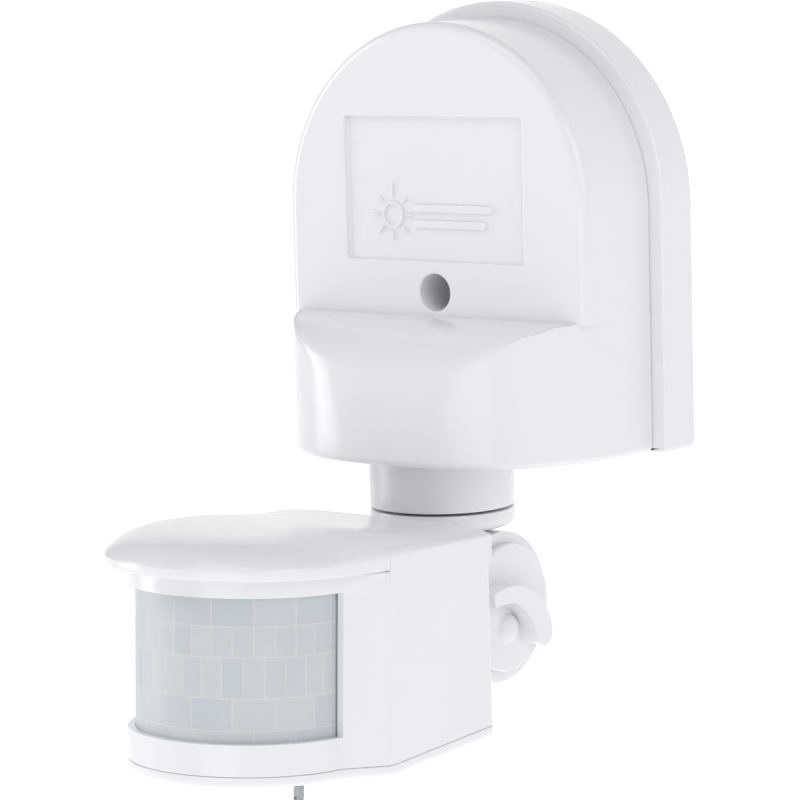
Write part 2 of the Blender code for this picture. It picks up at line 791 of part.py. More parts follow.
head_housing = leaning("head_housing", 0.0, HEAD_BOTTOM, HEAD_TOP)
wall_cap = crown("add_head_walls", HEAD_TOP - 3.0, tilt_axis)
boolean(
    wall_cap,
    prism("keep_head_walls", wall_run(0.0), "Z", HEAD_TOP - 2.0, HEAD_TOP + 12.0, tilt_axis),
    "INTERSECT",
)
add(head_housing, wall_cap)
cut(head_housing, leaning("cut_head_cavity", HEAD_WALL, HEAD_BOTTOM - 1.0, HEAD_TOP))
cut(
    head_housing,
    prism("cut_head_mouth", head_plan(HEAD_WALL), "Z", HEAD_TOP - 0.5, HEAD_TOP + 12.0, tilt_axis),
)
cut(head_housing, slope_wedge("cut_head_under", COVER_PLATE_T + FIT, -12.0, tilt_axis))
cut(
    head_housing,
    box(
        "cut_head_window",
        (-BAND_R - 1.0, LENS_Y - BAND_R - 1.0, LENS_BOTTOM),
        (BAND_R + 1.0, LENS_Y, LENS_TOP),
        tilt_axis,
    ),
)
for side_name, side in (("left", -1), ("right", 1)):
    xs = sorted((side * FORK_IN_X, side * FORK_OUT_X))
    add(
        head_housing,
        rod(f"add_fork_{side_name}", "X", hub, FORK_R, xs[0], xs[1], tilt_axis, segs=SEGS),
        box(f"add_web_{side_name}", (xs[0], HEAD_REAR_Y - 0.7, -12.0), (xs[1], -7.0, 9.0), tilt_axis),
    )
for boss_y in PLATE_SCREW_YS:
    for side_name, side in (("l", -1), ("r", 1)):
        tag = f"{side_name}{PLATE_SCREW_YS.index(boss_y)}"
        boss_x = side * PLATE_SCREW_X
        wall_x = side * (SIDE_HALF - HEAD_WALL / 2)
        low = floor_at(boss_y) + COVER_PLATE_T + FIT + 0.4
        ribs = sorted((boss_x, wall_x))
        add(
            head_housing,
            rod(
                f"add_boss_{tag}", "Z", (boss_x, boss_y, 0), PLATE_BOSS_R, low, low + 9.0, tilt_axis, segs=20
            ),
            box(
                f"add_rib_{tag}",
                (ribs[0], boss_y - 0.8, low + 1),
                (ribs[1], boss_y + 0.8, low + 8),
                tilt_axis,
            ),
        )
        pilot = rod(
            f"cut_boss_{tag}",
            "Z",
            (boss_x, boss_y, 0),
            PLATE_SCREW_R + FIT,
            low - 1,
            low + 7.4,
            tilt_axis,
            16,
        )
        cut(head_housing, pilot)
cut(
    head_housing,
    rod("cut_fork_bolt", "X", hub, BOLT_R + FIT, -FORK_OUT_X - 1, FORK_OUT_X + 1, tilt_axis, segs=24),
    rod(
        "cut_head_wire",
        "Y",
        (0, 0, 6.0),
        WIRE_R,
        HEAD_REAR_Y - HEAD_WALL - 1,
        HEAD_REAR_Y + 2,
        tilt_axis,
        segs=24,
    ),
)


def hexagon(flats, grow=0.0):
    radius = (flats / 2 + grow) / math.cos(math.pi / 6)
    return [(radius * math.cos(math.pi / 3 * k), radius * math.sin(math.pi / 3 * k)) for k in range(6)]


recess_x = -FORK_OUT_X + BOLT_HEAD_H + FIT
pocket_x = FORK_OUT_X - HUB_POCKET_DEEP
cut(
    head_housing,
    prism("cut_fork_hex", hexagon(BOLT_HEAD_FLAT, FIT), "X", -FORK_OUT_X - 1.0, recess_x, tilt_axis),
    rod("cut_fork_hub", "X", hub, HUB_POCKET_R, pocket_x, FORK_OUT_X + 1.0, tilt_axis),
)

clamp_bolt = prism(
    "clamp_bolt", hexagon(BOLT_HEAD_FLAT), "X", recess_x - FIT - BOLT_HEAD_H, recess_x - FIT, tilt_axis
)
add(clamp_bolt, rod("add_bolt_shank", "X", hub, BOLT_R, recess_x - FIT - 1.0, BOLT_END_X, tilt_axis, segs=24))

washer_x = pocket_x + FIT
spring_washer = turned(
    "spring_washer",
    [
        (BOLT_R + FIT, washer_x),
        (WASHER_R, washer_x),
        (WASHER_R, washer_x + WASHER_T),
        (BOLT_R + FIT, washer_x + WASHER_T),
    ],
    "X",
    hub,
    tilt_axis,
    segs=24,
)

hub_x = washer_x + WASHER_T + FIT
knob_face = KNOB_X + KNOB_T
clamp_knob = turned(
    "clamp_knob",
    [
        (0.0, hub_x),
        (KNOB_HUB_R, hub_x),
        (KNOB_HUB_R, KNOB_X),
        (KNOB_R, KNOB_X),
        (KNOB_R, knob_face - 0.6),
        (KNOB_R - 0.6, knob_face),
        (0.0, knob_face),
    ],
    "X",
    hub,
    tilt_axis,
)
rib_outline = []
rib_far_side = []
for k, (y, z, half) in enumerate(KNOB_RIB_LINE):
    before = KNOB_RIB_LINE[max(0, k - 1)]
    after = KNOB_RIB_LINE[min(len(KNOB_RIB_LINE) - 1, k + 1)]
    run = math.hypot(after[0] - before[0], after[1] - before[1])
    across = (-(after[1] - before[1]) / run, (after[0] - before[0]) / run)
    rib_outline.append((y + half * across[0], z + half * across[1]))
    rib_far_side.append((y - half * across[0], z - half * across[1]))
tip_y, tip_z, tip_half = KNOB_RIB_LINE[-1]
tip_turn = math.atan2(rib_outline[-1][1] - tip_z, rib_outline[-1][0] - tip_y)
for k in range(1, 8):
    turn = tip_turn - math.pi * k / 8
    rib_outline.append((tip_y + tip_half * math.cos(turn), tip_z + tip_half * math.sin(turn)))
rib_outline += reversed(rib_far_side)
dome_centre = (0.0, KNOB_DOME_Y, KNOB_DOME_Z)
dome_profile = [(0.0, knob_face - 0.7), (KNOB_DOME_R, knob_face - 0.7), (KNOB_DOME_R, knob_face + 0.3)]
dome_profile += [(0.75 * KNOB_DOME_R, knob_face + 0.75 * KNOB_DOME_H), (0.0, knob_face + KNOB_DOME_H)]
add(
    clamp_knob,
    prism("add_knob_rib", rib_outline, "X", knob_face - 0.8, knob_face + KNOB_RIB_H, tilt_axis),
    turned("add_knob_dome", dome_profile, "X", dome_centre, tilt_axis, segs=24),
)
nut_x = hub_x + FIT
cut(
    clamp_knob,
    prism("cut_knob_nut", hexagon(NUT_FLAT, FIT), "X", hub_x - 1.0, nut_x + NUT_T + FIT, tilt_axis),
    rod("cut_knob_bore", "X", hub, BOLT_R + FIT, hub_x - 1.0, BOLT_END_X + FIT, tilt_axis, segs=24),
)
clamp_nut = prism("clamp_nut", hexagon(NUT_FLAT), "X", nut_x, nut_x + NUT_T, tilt_axis)
cut(
    clamp_nut,
    rod("cut_clamp_nut", "X", hub, BOLT_R + FIT, nut_x - 1.0, nut_x + NUT_T + 1.0, tilt_axis, segs=24),
)

# ---------------------------------------------------------------- head covers and lens
visor_low = HEAD_TOP + FIT
top_visor = crown("top_visor", visor_low, tilt_axis)
cut(top_visor, prism("cut_visor_walls", wall_run(FIT), "Z", visor_low - 2.0, visor_low + 12.0, tilt_axis))
lip = prism(
    "add_visor_lip", head_plan(HEAD_WALL + FIT), "Z", HEAD_TOP - VISOR_LIP_H, visor_low + 0.5, tilt_axis
)
add(top_visor, lip)
lip_core = head_plan(HEAD_WALL + FIT + VISOR_LIP_T)
cut(
    top_visor, prism("cut_visor_hollow", lip_core, "Z", HEAD_TOP - VISOR_LIP_H - 1.0, VISOR_HOLLOW, tilt_axis)
)

lens_outline = []
lens_turns = [math.pi * k / 36 for k in range(37)]
lens_outline.append((LENS_R, LENS_Y + 2.0))
for turn in lens_turns:
    lens_outline.append((LENS_R * math.cos(turn), LENS_Y - LENS_R * math.sin(turn)))
lens_outline.append((-LENS_R, LENS_Y + 2.0))
lens_inner = LENS_R - LENS_T
lens_outline.append((-lens_inner, LENS_Y + 2.0))
for turn in reversed(lens_turns):
    lens_outline.append((lens_inner * math.cos(turn), LENS_Y - lens_inner * math.sin(turn)))
lens_outline.append((lens_inner, LENS_Y + 2.0))
fresnel_lens = prism(
    "fresnel_lens", lens_outline, "Z", LENS_BOTTOM - LENS_TUCK, LENS_TOP + LENS_TUCK, tilt_axis
)

plate_top = HEAD_BOTTOM + COVER_PLATE_T
bottom_cover = leaning("bottom_cover", 0.0, HEAD_BOTTOM, plate_top + HEAD_REAR_RISE + 1.0)
cut(
    bottom_cover,
    slope_wedge("cut_floor_under", 0.0, -12.0, tilt_axis),
    slope_wedge("cut_floor_over", COVER_PLATE_T, 12.0, tilt_axis),
)
plate_screws = []
for screw_y in PLATE_SCREW_YS:
    for side_name, side in (("left", -1), ("right", 1)):
        end_name = "front" if screw_y == PLATE_SCREW_YS[0] else "rear"
        centre = (side * PLATE_SCREW_X, screw_y, 0.0)
        seat = floor_at(screw_y) + PLATE_SCREW_SINK
        cut(
            bottom_cover,
            rod(
                f"cut_sink_{end_name}_{side_name}",
                "Z",
                centre,
                PLATE_SCREW_HEAD_R + FIT,
                seat - 3.0,
                seat,
                tilt_axis,
                20,
            ),
            rod(
                f"cut_hole_{end_name}_{side_name}",
                "Z",
                centre,
                PLATE_SCREW_R + FIT,
                seat - 1.0,
                seat + 3.0,
                tilt_axis,
                16,
            ),
        )
        plate_screws.append(
            cross_screw(
                f"plate_screw_{end_name}_{side_name}",
                "Z",
                centre,
                PLATE_SCREW_R,
                PLATE_SCREW_HEAD_R,
                PLATE_SCREW_HEAD_H,
                seat,
                seat + PLATE_SCREW_LONG,
                tilt_axis,
            )
        )

# ---------------------------------------------------------------- electronics
sensor_board = box(
    "sensor_board",
    (-BOARD_HALF, BOARD_Y, BOARD_BOTTOM),
    (BOARD_HALF, BOARD_Y + BOARD_T, BOARD_TOP),
    tilt_axis,
)
face = BOARD_Y - FIT
pir_element = turned(
    "pir_element",
    [
        (0, face),
        (PIR_FLANGE_R, face),
        (PIR_FLANGE_R, face - 0.6),
        (PIR_R, face - 0.6),
        (PIR_R, face - PIR_H),
        (0, face - PIR_H),
    ],
    "Y",
    (0, 0, PIR_Z),
    tilt_axis,
    segs=32,
)
light_cell = rod("light_cell", "Y", (-EYE_X, 0, PIR_Z), EYE_R, face - EYE_H, face, tilt_axis, segs=20)
signal_lamp = turned(
    "signal_lamp",
    [
        (0, face),
        (LAMP_R + 0.4, face),
        (LAMP_R + 0.4, face - 0.8),
        (LAMP_R, face - 0.8),
        (LAMP_R, face - LAMP_H + 1.0),
    ]
    + [(0.7 * LAMP_R, face - LAMP_H + 0.3), (0, face - LAMP_H)],
    "Y",
    (EYE_X, 0, PIR_Z),
    tilt_axis,
    segs=20,
)
board_plan = [(POWER_FRONT_HALF, POWER_FRONT_Y), (POWER_HALF, POWER_STEP_Y), (POWER_HALF, POWER_REAR_Y)]
board_plan += [(-x, y) for x, y in reversed(board_plan)]
power_board = prism("power_board", board_plan, "Z", POWER_TOP - POWER_T, POWER_TOP, tilt_axis)


def standing(name, x, size):
    low = (x - size[0] / 2, PARTS_Y - size[1] / 2, POWER_TOP + FIT)
    high = (x + size[0] / 2, PARTS_Y + size[1] / 2, POWER_TOP + FIT + size[2])
    return box(name, low, high, tilt_axis)


relay = standing("relay", RELAY_X, RELAY_SIZE)
filter_capacitor = standing("filter_capacitor", CAP_X, CAP_SIZE)
can_low = POWER_TOP + FIT
storage_capacitor = turned(
    "storage_capacitor",
    [
        (0, can_low),
        (CAN_R, can_low),
        (CAN_R, can_low + CAN_H - 0.6),
        (CAN_R - 0.6, can_low + CAN_H),
        (0, can_low + CAN_H),
    ],
    "Z",
    (CAN_X, PARTS_Y, 0),
    tilt_axis,
    segs=24,
)
pots = []
knobs = []
pot_top = POWER_TOP - POWER_T - FIT
cap_top = pot_top - POT_H - FIT
for adjuster, x, y, peg in ADJUSTERS:
    cut(
        bottom_cover,
        rod(
            f"cut_floor_{adjuster}",
            "Z",
            (x, y, 0),
            ADJUSTER_CAP_R + FIT,
            HEAD_BOTTOM - 1,
            plate_top + 1,
            tilt_axis,
            24,
        ),
    )
    pots.append(
        box(
            f"{adjuster}_trimmer",
            (x - POT_HALF, y - POT_HALF, pot_top - POT_H),
            (x + POT_HALF, y + POT_HALF, pot_top),
            tilt_axis,
        )
    )
    low = cap_top - ADJUSTER_CAP_T
    profile = [
        (0, cap_top), (ADJUSTER_CAP_R, cap_top), (ADJUSTER_CAP_R, low + 0.2), (ADJUSTER_CAP_R - 0.2, low)
    ]
    if peg:
        tip = HEAD_BOTTOM - peg
        profile += [
            (ADJUSTER_PEG_R, low), (ADJUSTER_PEG_R, tip + 0.6), (0.65 * ADJUSTER_PEG_R, tip), (0, tip)
        ]
    else:
        profile += [(0, low)]
    knob = turned(f"{adjuster}_knob", profile, "Z", (x, y, 0), tilt_axis, at=(x, y, cap_top), segs=24)
    slot_half = 0.3 if peg else 0.45
    slot_low = (HEAD_BOTTOM - peg if peg else low) - 1.0
    slot_long = ADJUSTER_PEG_R + 0.5 if peg else 1.9
    cut(
        knob,
        box(
            f"cut_{adjuster}_slot",
            (x - slot_half, y - slot_long, slot_low),
            (x + slot_half, y + slot_long, slot_low + 1.9),
            tilt_axis,
        ),
    )
    knobs.append(knob)

# ---------------------------------------------------------------- materials
white = material("white_plastic", (0.86, 0.86, 0.87), 0.32)
lens_plastic = material("lens_plastic", (0.78, 0.82, 0.84), 0.4, transmission=0.3)
black_rubber = material("seal_rubber", (0.05, 0.05, 0.05), 0.8)
steel = material("zinc_steel", (0.72, 0.72, 0.70), 0.35, metallic=1.0)
brass = material("nut_brass", (0.78, 0.58, 0.28), 0.35, metallic=1.0)
board_green = material("board_laminate", (0.06, 0.26, 0.12), 0.5)
dark_plastic = material("dark_plastic", (0.05, 0.07, 0.12), 0.45)
clear_plastic = material("clear_plastic", (0.70, 0.74, 0.76), 0.2, transmission=0.6)
fibre = material("friction_fibre", (0.35, 0.12, 0.08), 0.8)
block_plastic = material("block_plastic", (0.80, 0.79, 0.74), 0.5)

paint(
    white,
    wall_plate,
    front_cover,
    swivel_post,
    post_nut,
    swivel_arm,
    head_housing,
    top_visor,
    bottom_cover,
    clamp_knob,
)
paint(lens_plastic, fresnel_lens)
paint(black_rubber, cover_seal, cable_grommet)
paint(steel, cover_screw, clamp_bolt, spring_washer, pan_clip, pir_element, storage_capacitor, *plate_screws)
paint(brass, clamp_nut, *terminal_screws)
paint(board_green, sensor_board, power_board)
paint(dark_plastic, relay, light_cell, *pots)
paint(clear_plastic, signal_lamp, *knobs)
paint(fibre, *friction_discs)
paint(block_plastic, terminal_block, filter_capacitor)
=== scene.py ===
"""Looks for a wall-mounted motion sensor: moulded white plastic box, swivel, tilting head and segmented lens.

Shapes are drawn in millimetres, in one of two frames: WORLD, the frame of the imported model, and HEAD, whose
origin is on the tilt axis and which leans with the head at rest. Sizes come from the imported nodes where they
can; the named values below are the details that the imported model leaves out.
"""

import json
import math
import random

import bpy
from mathutils import Matrix, Vector


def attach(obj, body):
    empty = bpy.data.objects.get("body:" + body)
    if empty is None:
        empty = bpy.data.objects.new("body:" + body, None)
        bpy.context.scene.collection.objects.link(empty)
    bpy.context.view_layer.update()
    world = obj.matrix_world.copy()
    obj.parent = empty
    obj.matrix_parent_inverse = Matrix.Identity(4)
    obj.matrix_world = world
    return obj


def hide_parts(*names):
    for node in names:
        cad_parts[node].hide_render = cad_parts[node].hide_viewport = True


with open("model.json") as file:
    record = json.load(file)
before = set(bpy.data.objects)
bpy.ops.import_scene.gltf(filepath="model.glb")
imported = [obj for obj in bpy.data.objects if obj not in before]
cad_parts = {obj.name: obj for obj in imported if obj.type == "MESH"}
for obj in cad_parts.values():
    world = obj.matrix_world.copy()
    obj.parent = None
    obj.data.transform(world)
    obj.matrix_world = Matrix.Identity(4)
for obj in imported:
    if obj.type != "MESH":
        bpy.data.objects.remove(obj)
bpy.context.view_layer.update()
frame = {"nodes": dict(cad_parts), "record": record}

MM = 0.001
WORLD = Matrix.Identity(4)
JOINTS = {joint["name"]: joint for joint in frame["record"]["behaviour"]["joints"]}
DIAL_AXIS = JOINTS["time_adjust"]["axis"]
LEAN = math.atan2(-DIAL_AXIS[1], DIAL_AXIS[2])
HEAD = Matrix.Translation(JOINTS["head_tilt"]["pos_m"]) @ Matrix.Rotation(LEAN, 4, "X")

# ---- detail sizes in millimetres
GAP = 0.3
SEAM = 0.08  # gap where two mouldings meet on an outer face
EDGE = 0.35  # usual rounding of a moulded edge
ARC = 96  # steps of a half circle that shows
TURN = 128  # steps of a full turn that shows


def span(node, place=WORLD):
    """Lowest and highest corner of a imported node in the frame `place`, in millimetres."""
    back = place.inverted()
    corners = [back @ vertex.co / MM for vertex in frame["nodes"][node].data.vertices]
    low = Vector(min(corner[i] for corner in corners) for i in range(3))
    high = Vector(max(corner[i] for corner in corners) for i in range(3))
    return low, high


# ---- mesh helpers
def volume(points, faces):
    total = 0.0
    for face in faces:
        first = Vector(points[face[0]])
        for i in range(1, len(face) - 1):
            total += first.dot(Vector(points[face[i]]).cross(Vector(points[face[i + 1]])))
    return total


def solid(name, points, faces, place=WORLD):
    """A closed mesh with outward faces, its points in millimetres in the frame `place`."""
    if volume(points, faces) < 0:
        faces = [tuple(reversed(face)) for face in faces]
    mesh = bpy.data.meshes.new(name)
    mesh.from_pydata([place @ (Vector(point) * MM) for point in points], [], faces)
    mesh.validate()
    mesh.update()
    obj = bpy.data.objects.new(name, mesh)
    bpy.context.scene.collection.objects.link(obj)
    return obj


def loft(name, rings, place=WORLD, strips=True):
    """Rings of equal length joined in order.

    Each end is closed by strips across the ring or, without `strips`, by one flat face.
    """
    count = len(rings[0])
    points = [point for ring in rings for point in ring]
    faces = []
    for k in range(len(rings) - 1):
        for i in range(count):
            j = (i + 1) % count
            faces.append((k * count + i, k * count + j, (k + 1) * count + j, (k + 1) * count + i))
    last = (len(rings) - 1) * count
    if not strips:
        faces += [tuple(reversed(range(count))), tuple(range(last, last + count))]
        return solid(name, points, faces, place)
    for i in range((count - 1) // 2):
        strip = list(dict.fromkeys((i, i + 1, count - 2 - i, count - 1 - i)))
        faces.append(tuple(reversed(strip)))
        faces.append(tuple(last + corner for corner in strip))
    return solid(name, points, faces, place)


AXES = {
    "X": lambda p, t: (t, p[0], p[1]),
    "Y": lambda p, t: (p[0], t, p[1]),
    "Z": lambda p, t: (p[0], p[1], t),
}


def prism(name, outline, axis, low, high, place=WORLD):
    """An outline in the plane across `axis`, extruded from low to high."""
    return loft(name, [[AXES[axis](point, t) for point in outline] for t in (low, high)], place)


def block(name, low, high, place=WORLD):
    outline = [(low[0], low[1]), (high[0], low[1]), (high[0], high[1]), (low[0], high[1])]
    return prism(name, outline, "Z", low[2], high[2], place)


def turned(name, profile, axis, centre, place=WORLD, segs=TURN):
    """A closed profile of (radius, along) pairs turned about an axis; radius 0 is a pole."""
    points = []
    index = []
    for radius, along in profile:
        if radius < 1e-6:
            index.append([len(points)] * segs)
            points.append(AXES[axis](centre, along))
            continue
        index.append(list(range(len(points), len(points) + segs)))
        for i in range(segs):
            angle = 2 * math.pi * i / segs
            spot = (centre[0] + radius * math.cos(angle), centre[1] + radius * math.sin(angle))
            points.append(AXES[axis](spot, along))
    faces = []
    closed = all(radius > 1e-6 for radius, _ in profile)
    for k in range(len(profile) if closed else len(profile) - 1):
        one = index[k]
        two = index[(k + 1) % len(profile)]
        for i in range(segs):
            j = (i + 1) % segs
            face = []
            for corner in (one[i], one[j], two[j], two[i]):
                if corner not in face:
                    face.append(corner)
            if len(face) > 2:
                faces.append(tuple(face))
    return solid(name, points, faces, place)


def rounded(profile, radius, steps=4):
    """The profile with each inner corner turned into an arc of about `radius`, the two ends kept."""
    result = [profile[0]]
    for before, corner, after in zip(profile, profile[1:], profile[2:]):
        corner = Vector(corner)
        into = Vector(before) - corner
        away = Vector(after) - corner
        reach = min(radius, 0.45 * into.length, 0.45 * away.length)
        start = corner + into.normalized() * reach
        end = corner + away.normalized() * reach
        for k in range(steps + 1):
            t = k / steps
            point = start.lerp(corner, t).lerp(corner.lerp(end, t), t)
            result.append((point.x, point.y))
    result.append(profile[-1])
    return result


def rod(name, axis, centre, radius, low, high, place=WORLD, segs=64):
    return turned(name, [(0, low), (radius, low), (radius, high), (0, high)], axis, centre, place, segs)


def freeze(obj):
    """Applies the modifiers."""
    graph = bpy.context.evaluated_depsgraph_get()
    mesh = bpy.data.meshes.new_from_object(obj.evaluated_get(graph))
    old = obj.data
    obj.modifiers.clear()
    obj.data = mesh
    bpy.data.meshes.remove(old)
    return obj


def boolean(target, operation, tools):
    for tool in tools:
        step = target.modifiers.new(tool.name, "BOOLEAN")
        step.operation = operation
        step.solver = "EXACT"
        step.object = tool
    freeze(target)
    for tool in tools:
        bpy.data.objects.remove(tool, do_unlink=True)
    return target


def cut(target, *tools):
    return boolean(target, "DIFFERENCE", tools)


def add(target, *tools):
    return boolean(target, "UNION", tools)


def keep(target, *tools):
    return boolean(target, "INTERSECT", tools)


def soften(obj, width=EDGE, segments=3, angle=33.0):
    """Rounds each edge sharper than `angle` degrees."""
    bevel = obj.modifiers.new("round", "BEVEL")
    bevel.width = width * MM
    bevel.segments = segments
    bevel.limit_method = "ANGLE"
    bevel.angle_limit = math.radians(angle)
    bevel.use_clamp_overlap = True
    return freeze(obj)


def weld(obj, distance=0.004):
    step = obj.modifiers.new("weld", "WELD")
    step.merge_threshold = distance * MM
    return freeze(obj)


def join(name, objects):
    """Several closed bodies as one piece."""
    points = []
    faces = []
    for obj in objects:
        start = len(points)
        points += [vertex.co.copy() for vertex in obj.data.vertices]
        faces += [tuple(start + v for v in polygon.vertices) for polygon in obj.data.polygons]
        bpy.data.objects.remove(obj, do_unlink=True)
    mesh = bpy.data.meshes.new(name)
    mesh.from_pydata(points, [], faces)
    obj = bpy.data.objects.new(name, mesh)
    bpy.context.scene.collection.objects.link(obj)
    return obj


def place_piece(obj, body, material, slot, *stands_for, sharp=38.0):
    """Shades a finished piece, gives it its material and lets it ride on its body."""
    obj.data.materials.clear()
    obj.data.materials.append(material)
    obj.data.shade_smooth()
    obj.data.set_sharp_from_angle(angle=math.radians(sharp))
    even = obj.modifiers.new("normals", "WEIGHTED_NORMAL")
    even.keep_sharp = True
    freeze(obj)
    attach(obj, body)
    if stands_for:
        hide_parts(*stands_for)
    return obj


# ---- materials
def new_material(name):
    material = bpy.data.materials.new(name)
    material.use_nodes = True
    return material, material.node_tree.nodes, material.node_tree.links


def noise(nodes, links, coordinates, scale, detail=3.0, roughness=0.5):
    texture = nodes.new("ShaderNodeTexNoise")
    texture.inputs["Scale"].default_value = scale
    texture.inputs["Detail"].default_value = detail
    texture.inputs["Roughness"].default_value = roughness
    links.new(coordinates, texture.inputs["Vector"])
    return texture.outputs["Fac"]


def ranged(nodes, links, value, low, high, start=0.3, end=0.7):
    step = nodes.new("ShaderNodeMapRange")
    step.inputs["From Min"].default_value = start
    step.inputs["From Max"].default_value = end
    step.inputs["To Min"].default_value = low
    step.inputs["To Max"].default_value = high
    links.new(value, step.inputs["Value"])
    return step.outputs["Result"]


def blended(nodes, links, factor, one, two):
    mix = nodes.new("ShaderNodeMix")
    mix.data_type = "RGBA"
    mix.inputs["A"].default_value = (*one, 1.0)
    mix.inputs["B"].default_value = (*two, 1.0)
    links.new(factor, mix.inputs["Factor"])
    return mix.outputs["Result"]


def surface(name, one, two, rough, grain, patch=45.0, depth=0.02, metallic=0.0, clearness=0.0):
    """A finish that drifts between two colours, with uneven roughness and a fine grain in its surface.

    rough is (lowest, highest) roughness, grain the scale of the bump (0 for none), patch that of the drift.
    """
    material, nodes, links = new_material(name)
    shader = nodes["Principled BSDF"]
    coordinates = nodes.new("ShaderNodeTexCoord").outputs["Object"]
    drift = noise(nodes, links, coordinates, patch, 4.0)
    links.new(blended(nodes, links, drift, one, two), shader.inputs["Base Color"])
    smear = noise(nodes, links, coordinates, patch * 4.0, 5.0, 0.6)
    links.new(ranged(nodes, links, smear, *rough), shader.inputs["Roughness"])
    if grain:
        bump = nodes.new("ShaderNodeBump")
        bump.inputs["Strength"].default_value = 0.35
        bump.inputs["Distance"].default_value = depth * MM
        links.new(noise(nodes, links, coordinates, grain, 2.0), bump.inputs["Height"])
        links.new(bump.outputs["Normal"], shader.inputs["Normal"])
    shader.inputs["Metallic"].default_value = metallic
    shader.inputs["Transmission Weight"].default_value = clearness
    return material


LENS_DEEP = (0.66, 0.715, 0.75)
LENS_PALE = (0.84, 0.86, 0.865)
LENS_CLEARNESS = 0.25


def segmented_lens(name):
    """Milky moulded lens: each segment has its own random tone, and the fine lines round the segments are
    painted pale as a painted highlight; both are kept on the mesh as a face attribute.
    """
    material, nodes, links = new_material(name)
    shader = nodes["Principled BSDF"]
    coordinates = nodes.new("ShaderNodeTexCoord").outputs["Object"]
    # each segment's own tone and the painted highlight on the fine lines, read from the mesh
    tone = nodes.new("ShaderNodeAttribute")
    tone.attribute_name = "segment_tone_and_line_highlight"
    cloud = noise(nodes, links, coordinates, 160.0, 4.0, 0.6)
    total = nodes.new("ShaderNodeMath")
    total.operation = "MULTIPLY_ADD"
    links.new(cloud, total.inputs[0])
    total.inputs[1].default_value = 0.5
    links.new(tone.outputs["Fac"], total.inputs[2])
    share = ranged(nodes, links, total.outputs[0], 0.0, 1.0, 0.2, 1.4)
    links.new(blended(nodes, links, share, LENS_DEEP, LENS_PALE), shader.inputs["Base Color"])
    links.new(ranged(nodes, links, cloud, 0.30, 0.42), shader.inputs["Roughness"])
    bump = nodes.new("ShaderNodeBump")
    bump.inputs["Strength"].default_value = 0.3
    bump.inputs["Distance"].default_value = 0.02 * MM
    links.new(noise(nodes, links, coordinates, 900.0, 2.0), bump.inputs["Height"])
    links.new(bump.outputs["Normal"], shader.inputs["Normal"])
    shader.inputs["Transmission Weight"].default_value = LENS_CLEARNESS
    shader.inputs["IOR"].default_value = 1.35
    return material


PLATED = {"grain": 2200.0, "patch": 220.0, "metallic": 1.0}

white = surface("white_moulded", (0.780, 0.784, 0.806), (0.800, 0.803, 0.820), (0.17, 0.24), grain=0)
white_inner = surface("white_inner", (0.74, 0.74, 0.74), (0.80, 0.80, 0.79), (0.42, 0.55), 1100.0, depth=0.04)
rubber = surface("rubber_seal", (0.03, 0.03, 0.032), (0.06, 0.058, 0.056), (0.62, 0.80), 1800.0, depth=0.05)
steel = surface("zinc_plated", (0.60, 0.61, 0.60), (0.74, 0.74, 0.71), (0.24, 0.42), **PLATED)
brass = surface("brass_plated", (0.68, 0.50, 0.24), (0.80, 0.62, 0.33), (0.26, 0.42), **PLATED)
laminate = surface("board_lacquer", (0.050, 0.085, 0.125), (0.080, 0.120, 0.160), (0.30, 0.45), 900.0, 300.0)
dark = surface("dark_moulded", (0.030, 0.036, 0.050), (0.055, 0.060, 0.078), (0.40, 0.55), 1400.0)
fibre = surface(
    "pressed_fibre", (0.22, 0.085, 0.055), (0.38, 0.17, 0.11), (0.70, 0.90), 1200.0, 700.0, depth=0.06
)
cream = surface("cream_moulded", (0.70, 0.69, 0.63), (0.80, 0.79, 0.74), (0.42, 0.58), 1300.0)
smoke = surface(
    "smoked_clear", (0.42, 0.44, 0.46), (0.56, 0.58, 0.60), (0.14, 0.28), 1600.0, 400.0, clearness=0.45
)
milky = segmented_lens("milky_lens")

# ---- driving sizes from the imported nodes
plate_low, plate_high = span("wall_plate")
cover_low, cover_high = span("front_cover")
PLATE_HALF = plate_high.x
FOOT = plate_low.z
ARCH_Z = plate_high.z - PLATE_HALF
COVER_HALF = cover_high.x
PLATE_FRONT = cover_high.y + GAP
COVER_BACK = PLATE_FRONT - SEAM
COVER_FRONT = cover_low.y
post_low, post_high = span("swivel_post")
POST_Y = (post_low.y + post_high.y) / 2
POST_R = post_high.x
_, arm_high = span("swivel_arm")
PAN_AT = (0.0, POST_Y)

# junction box
PLATE_SKIN = 2.4
PLATE_EDGE = 0.8  # rounding of the plate's front edge
PLATE_WALL = 7.2
SEAL_LAND = 1.8  # width of the seal's groove
DISH_R = 10.4
DISH_DEEP = 0.35
POCKET_X = 20.5
POCKET_HALF = 9.5
POCKET_LOW = -34.5
POCKET_TALL = 15.0
POCKET_STEP = 19.0
COVER_FACE = -32.7
COVER_WALL = 2.2
COVER_FILLET = 2.2
LEDGE = -17.9
BELLY_BACK = -14.0
BELLY_POWER = 2.5
BACK_CHAMFER = 0.2
FOOT_ROUND = 1.5
SHOULDER_END = -32.0
CREASE_SOFT = 0.7
CREASE_FADE = 1.8  # how much the crease softens towards its lower end
LABEL_HALF = 22.3
LABEL_LOW = -6.8
LABEL_HIGH = 22.4
LABEL_DEEP = 0.9
LABEL_CORNER = 0.6
RIM_ROUND = 0.45  # softened rim of the recess and of the screw access
ACCESS_Z = -13.1
ACCESS_R = 3.8
SEAT_Y = -17.0
TUBE_END = -13.6
TUBE_R = 5.8
ENTRY_Z = 14.0
ENTRY_R = 7.0
WALL_HOLES = (35.0, -37.5)
WALL_HOLE_R = 2.4
SHARP_FOOT = 0.01  # rounding of an arch's foot where the lower front hides it
SHOULDER_TALL = LEDGE - SHOULDER_END

# parts about the pan and tilt axes
LUG_HALF = 4.7
LUG_R = 14.0
WIRE_R = 3.6
BOLT_HOLE_R = 2.8


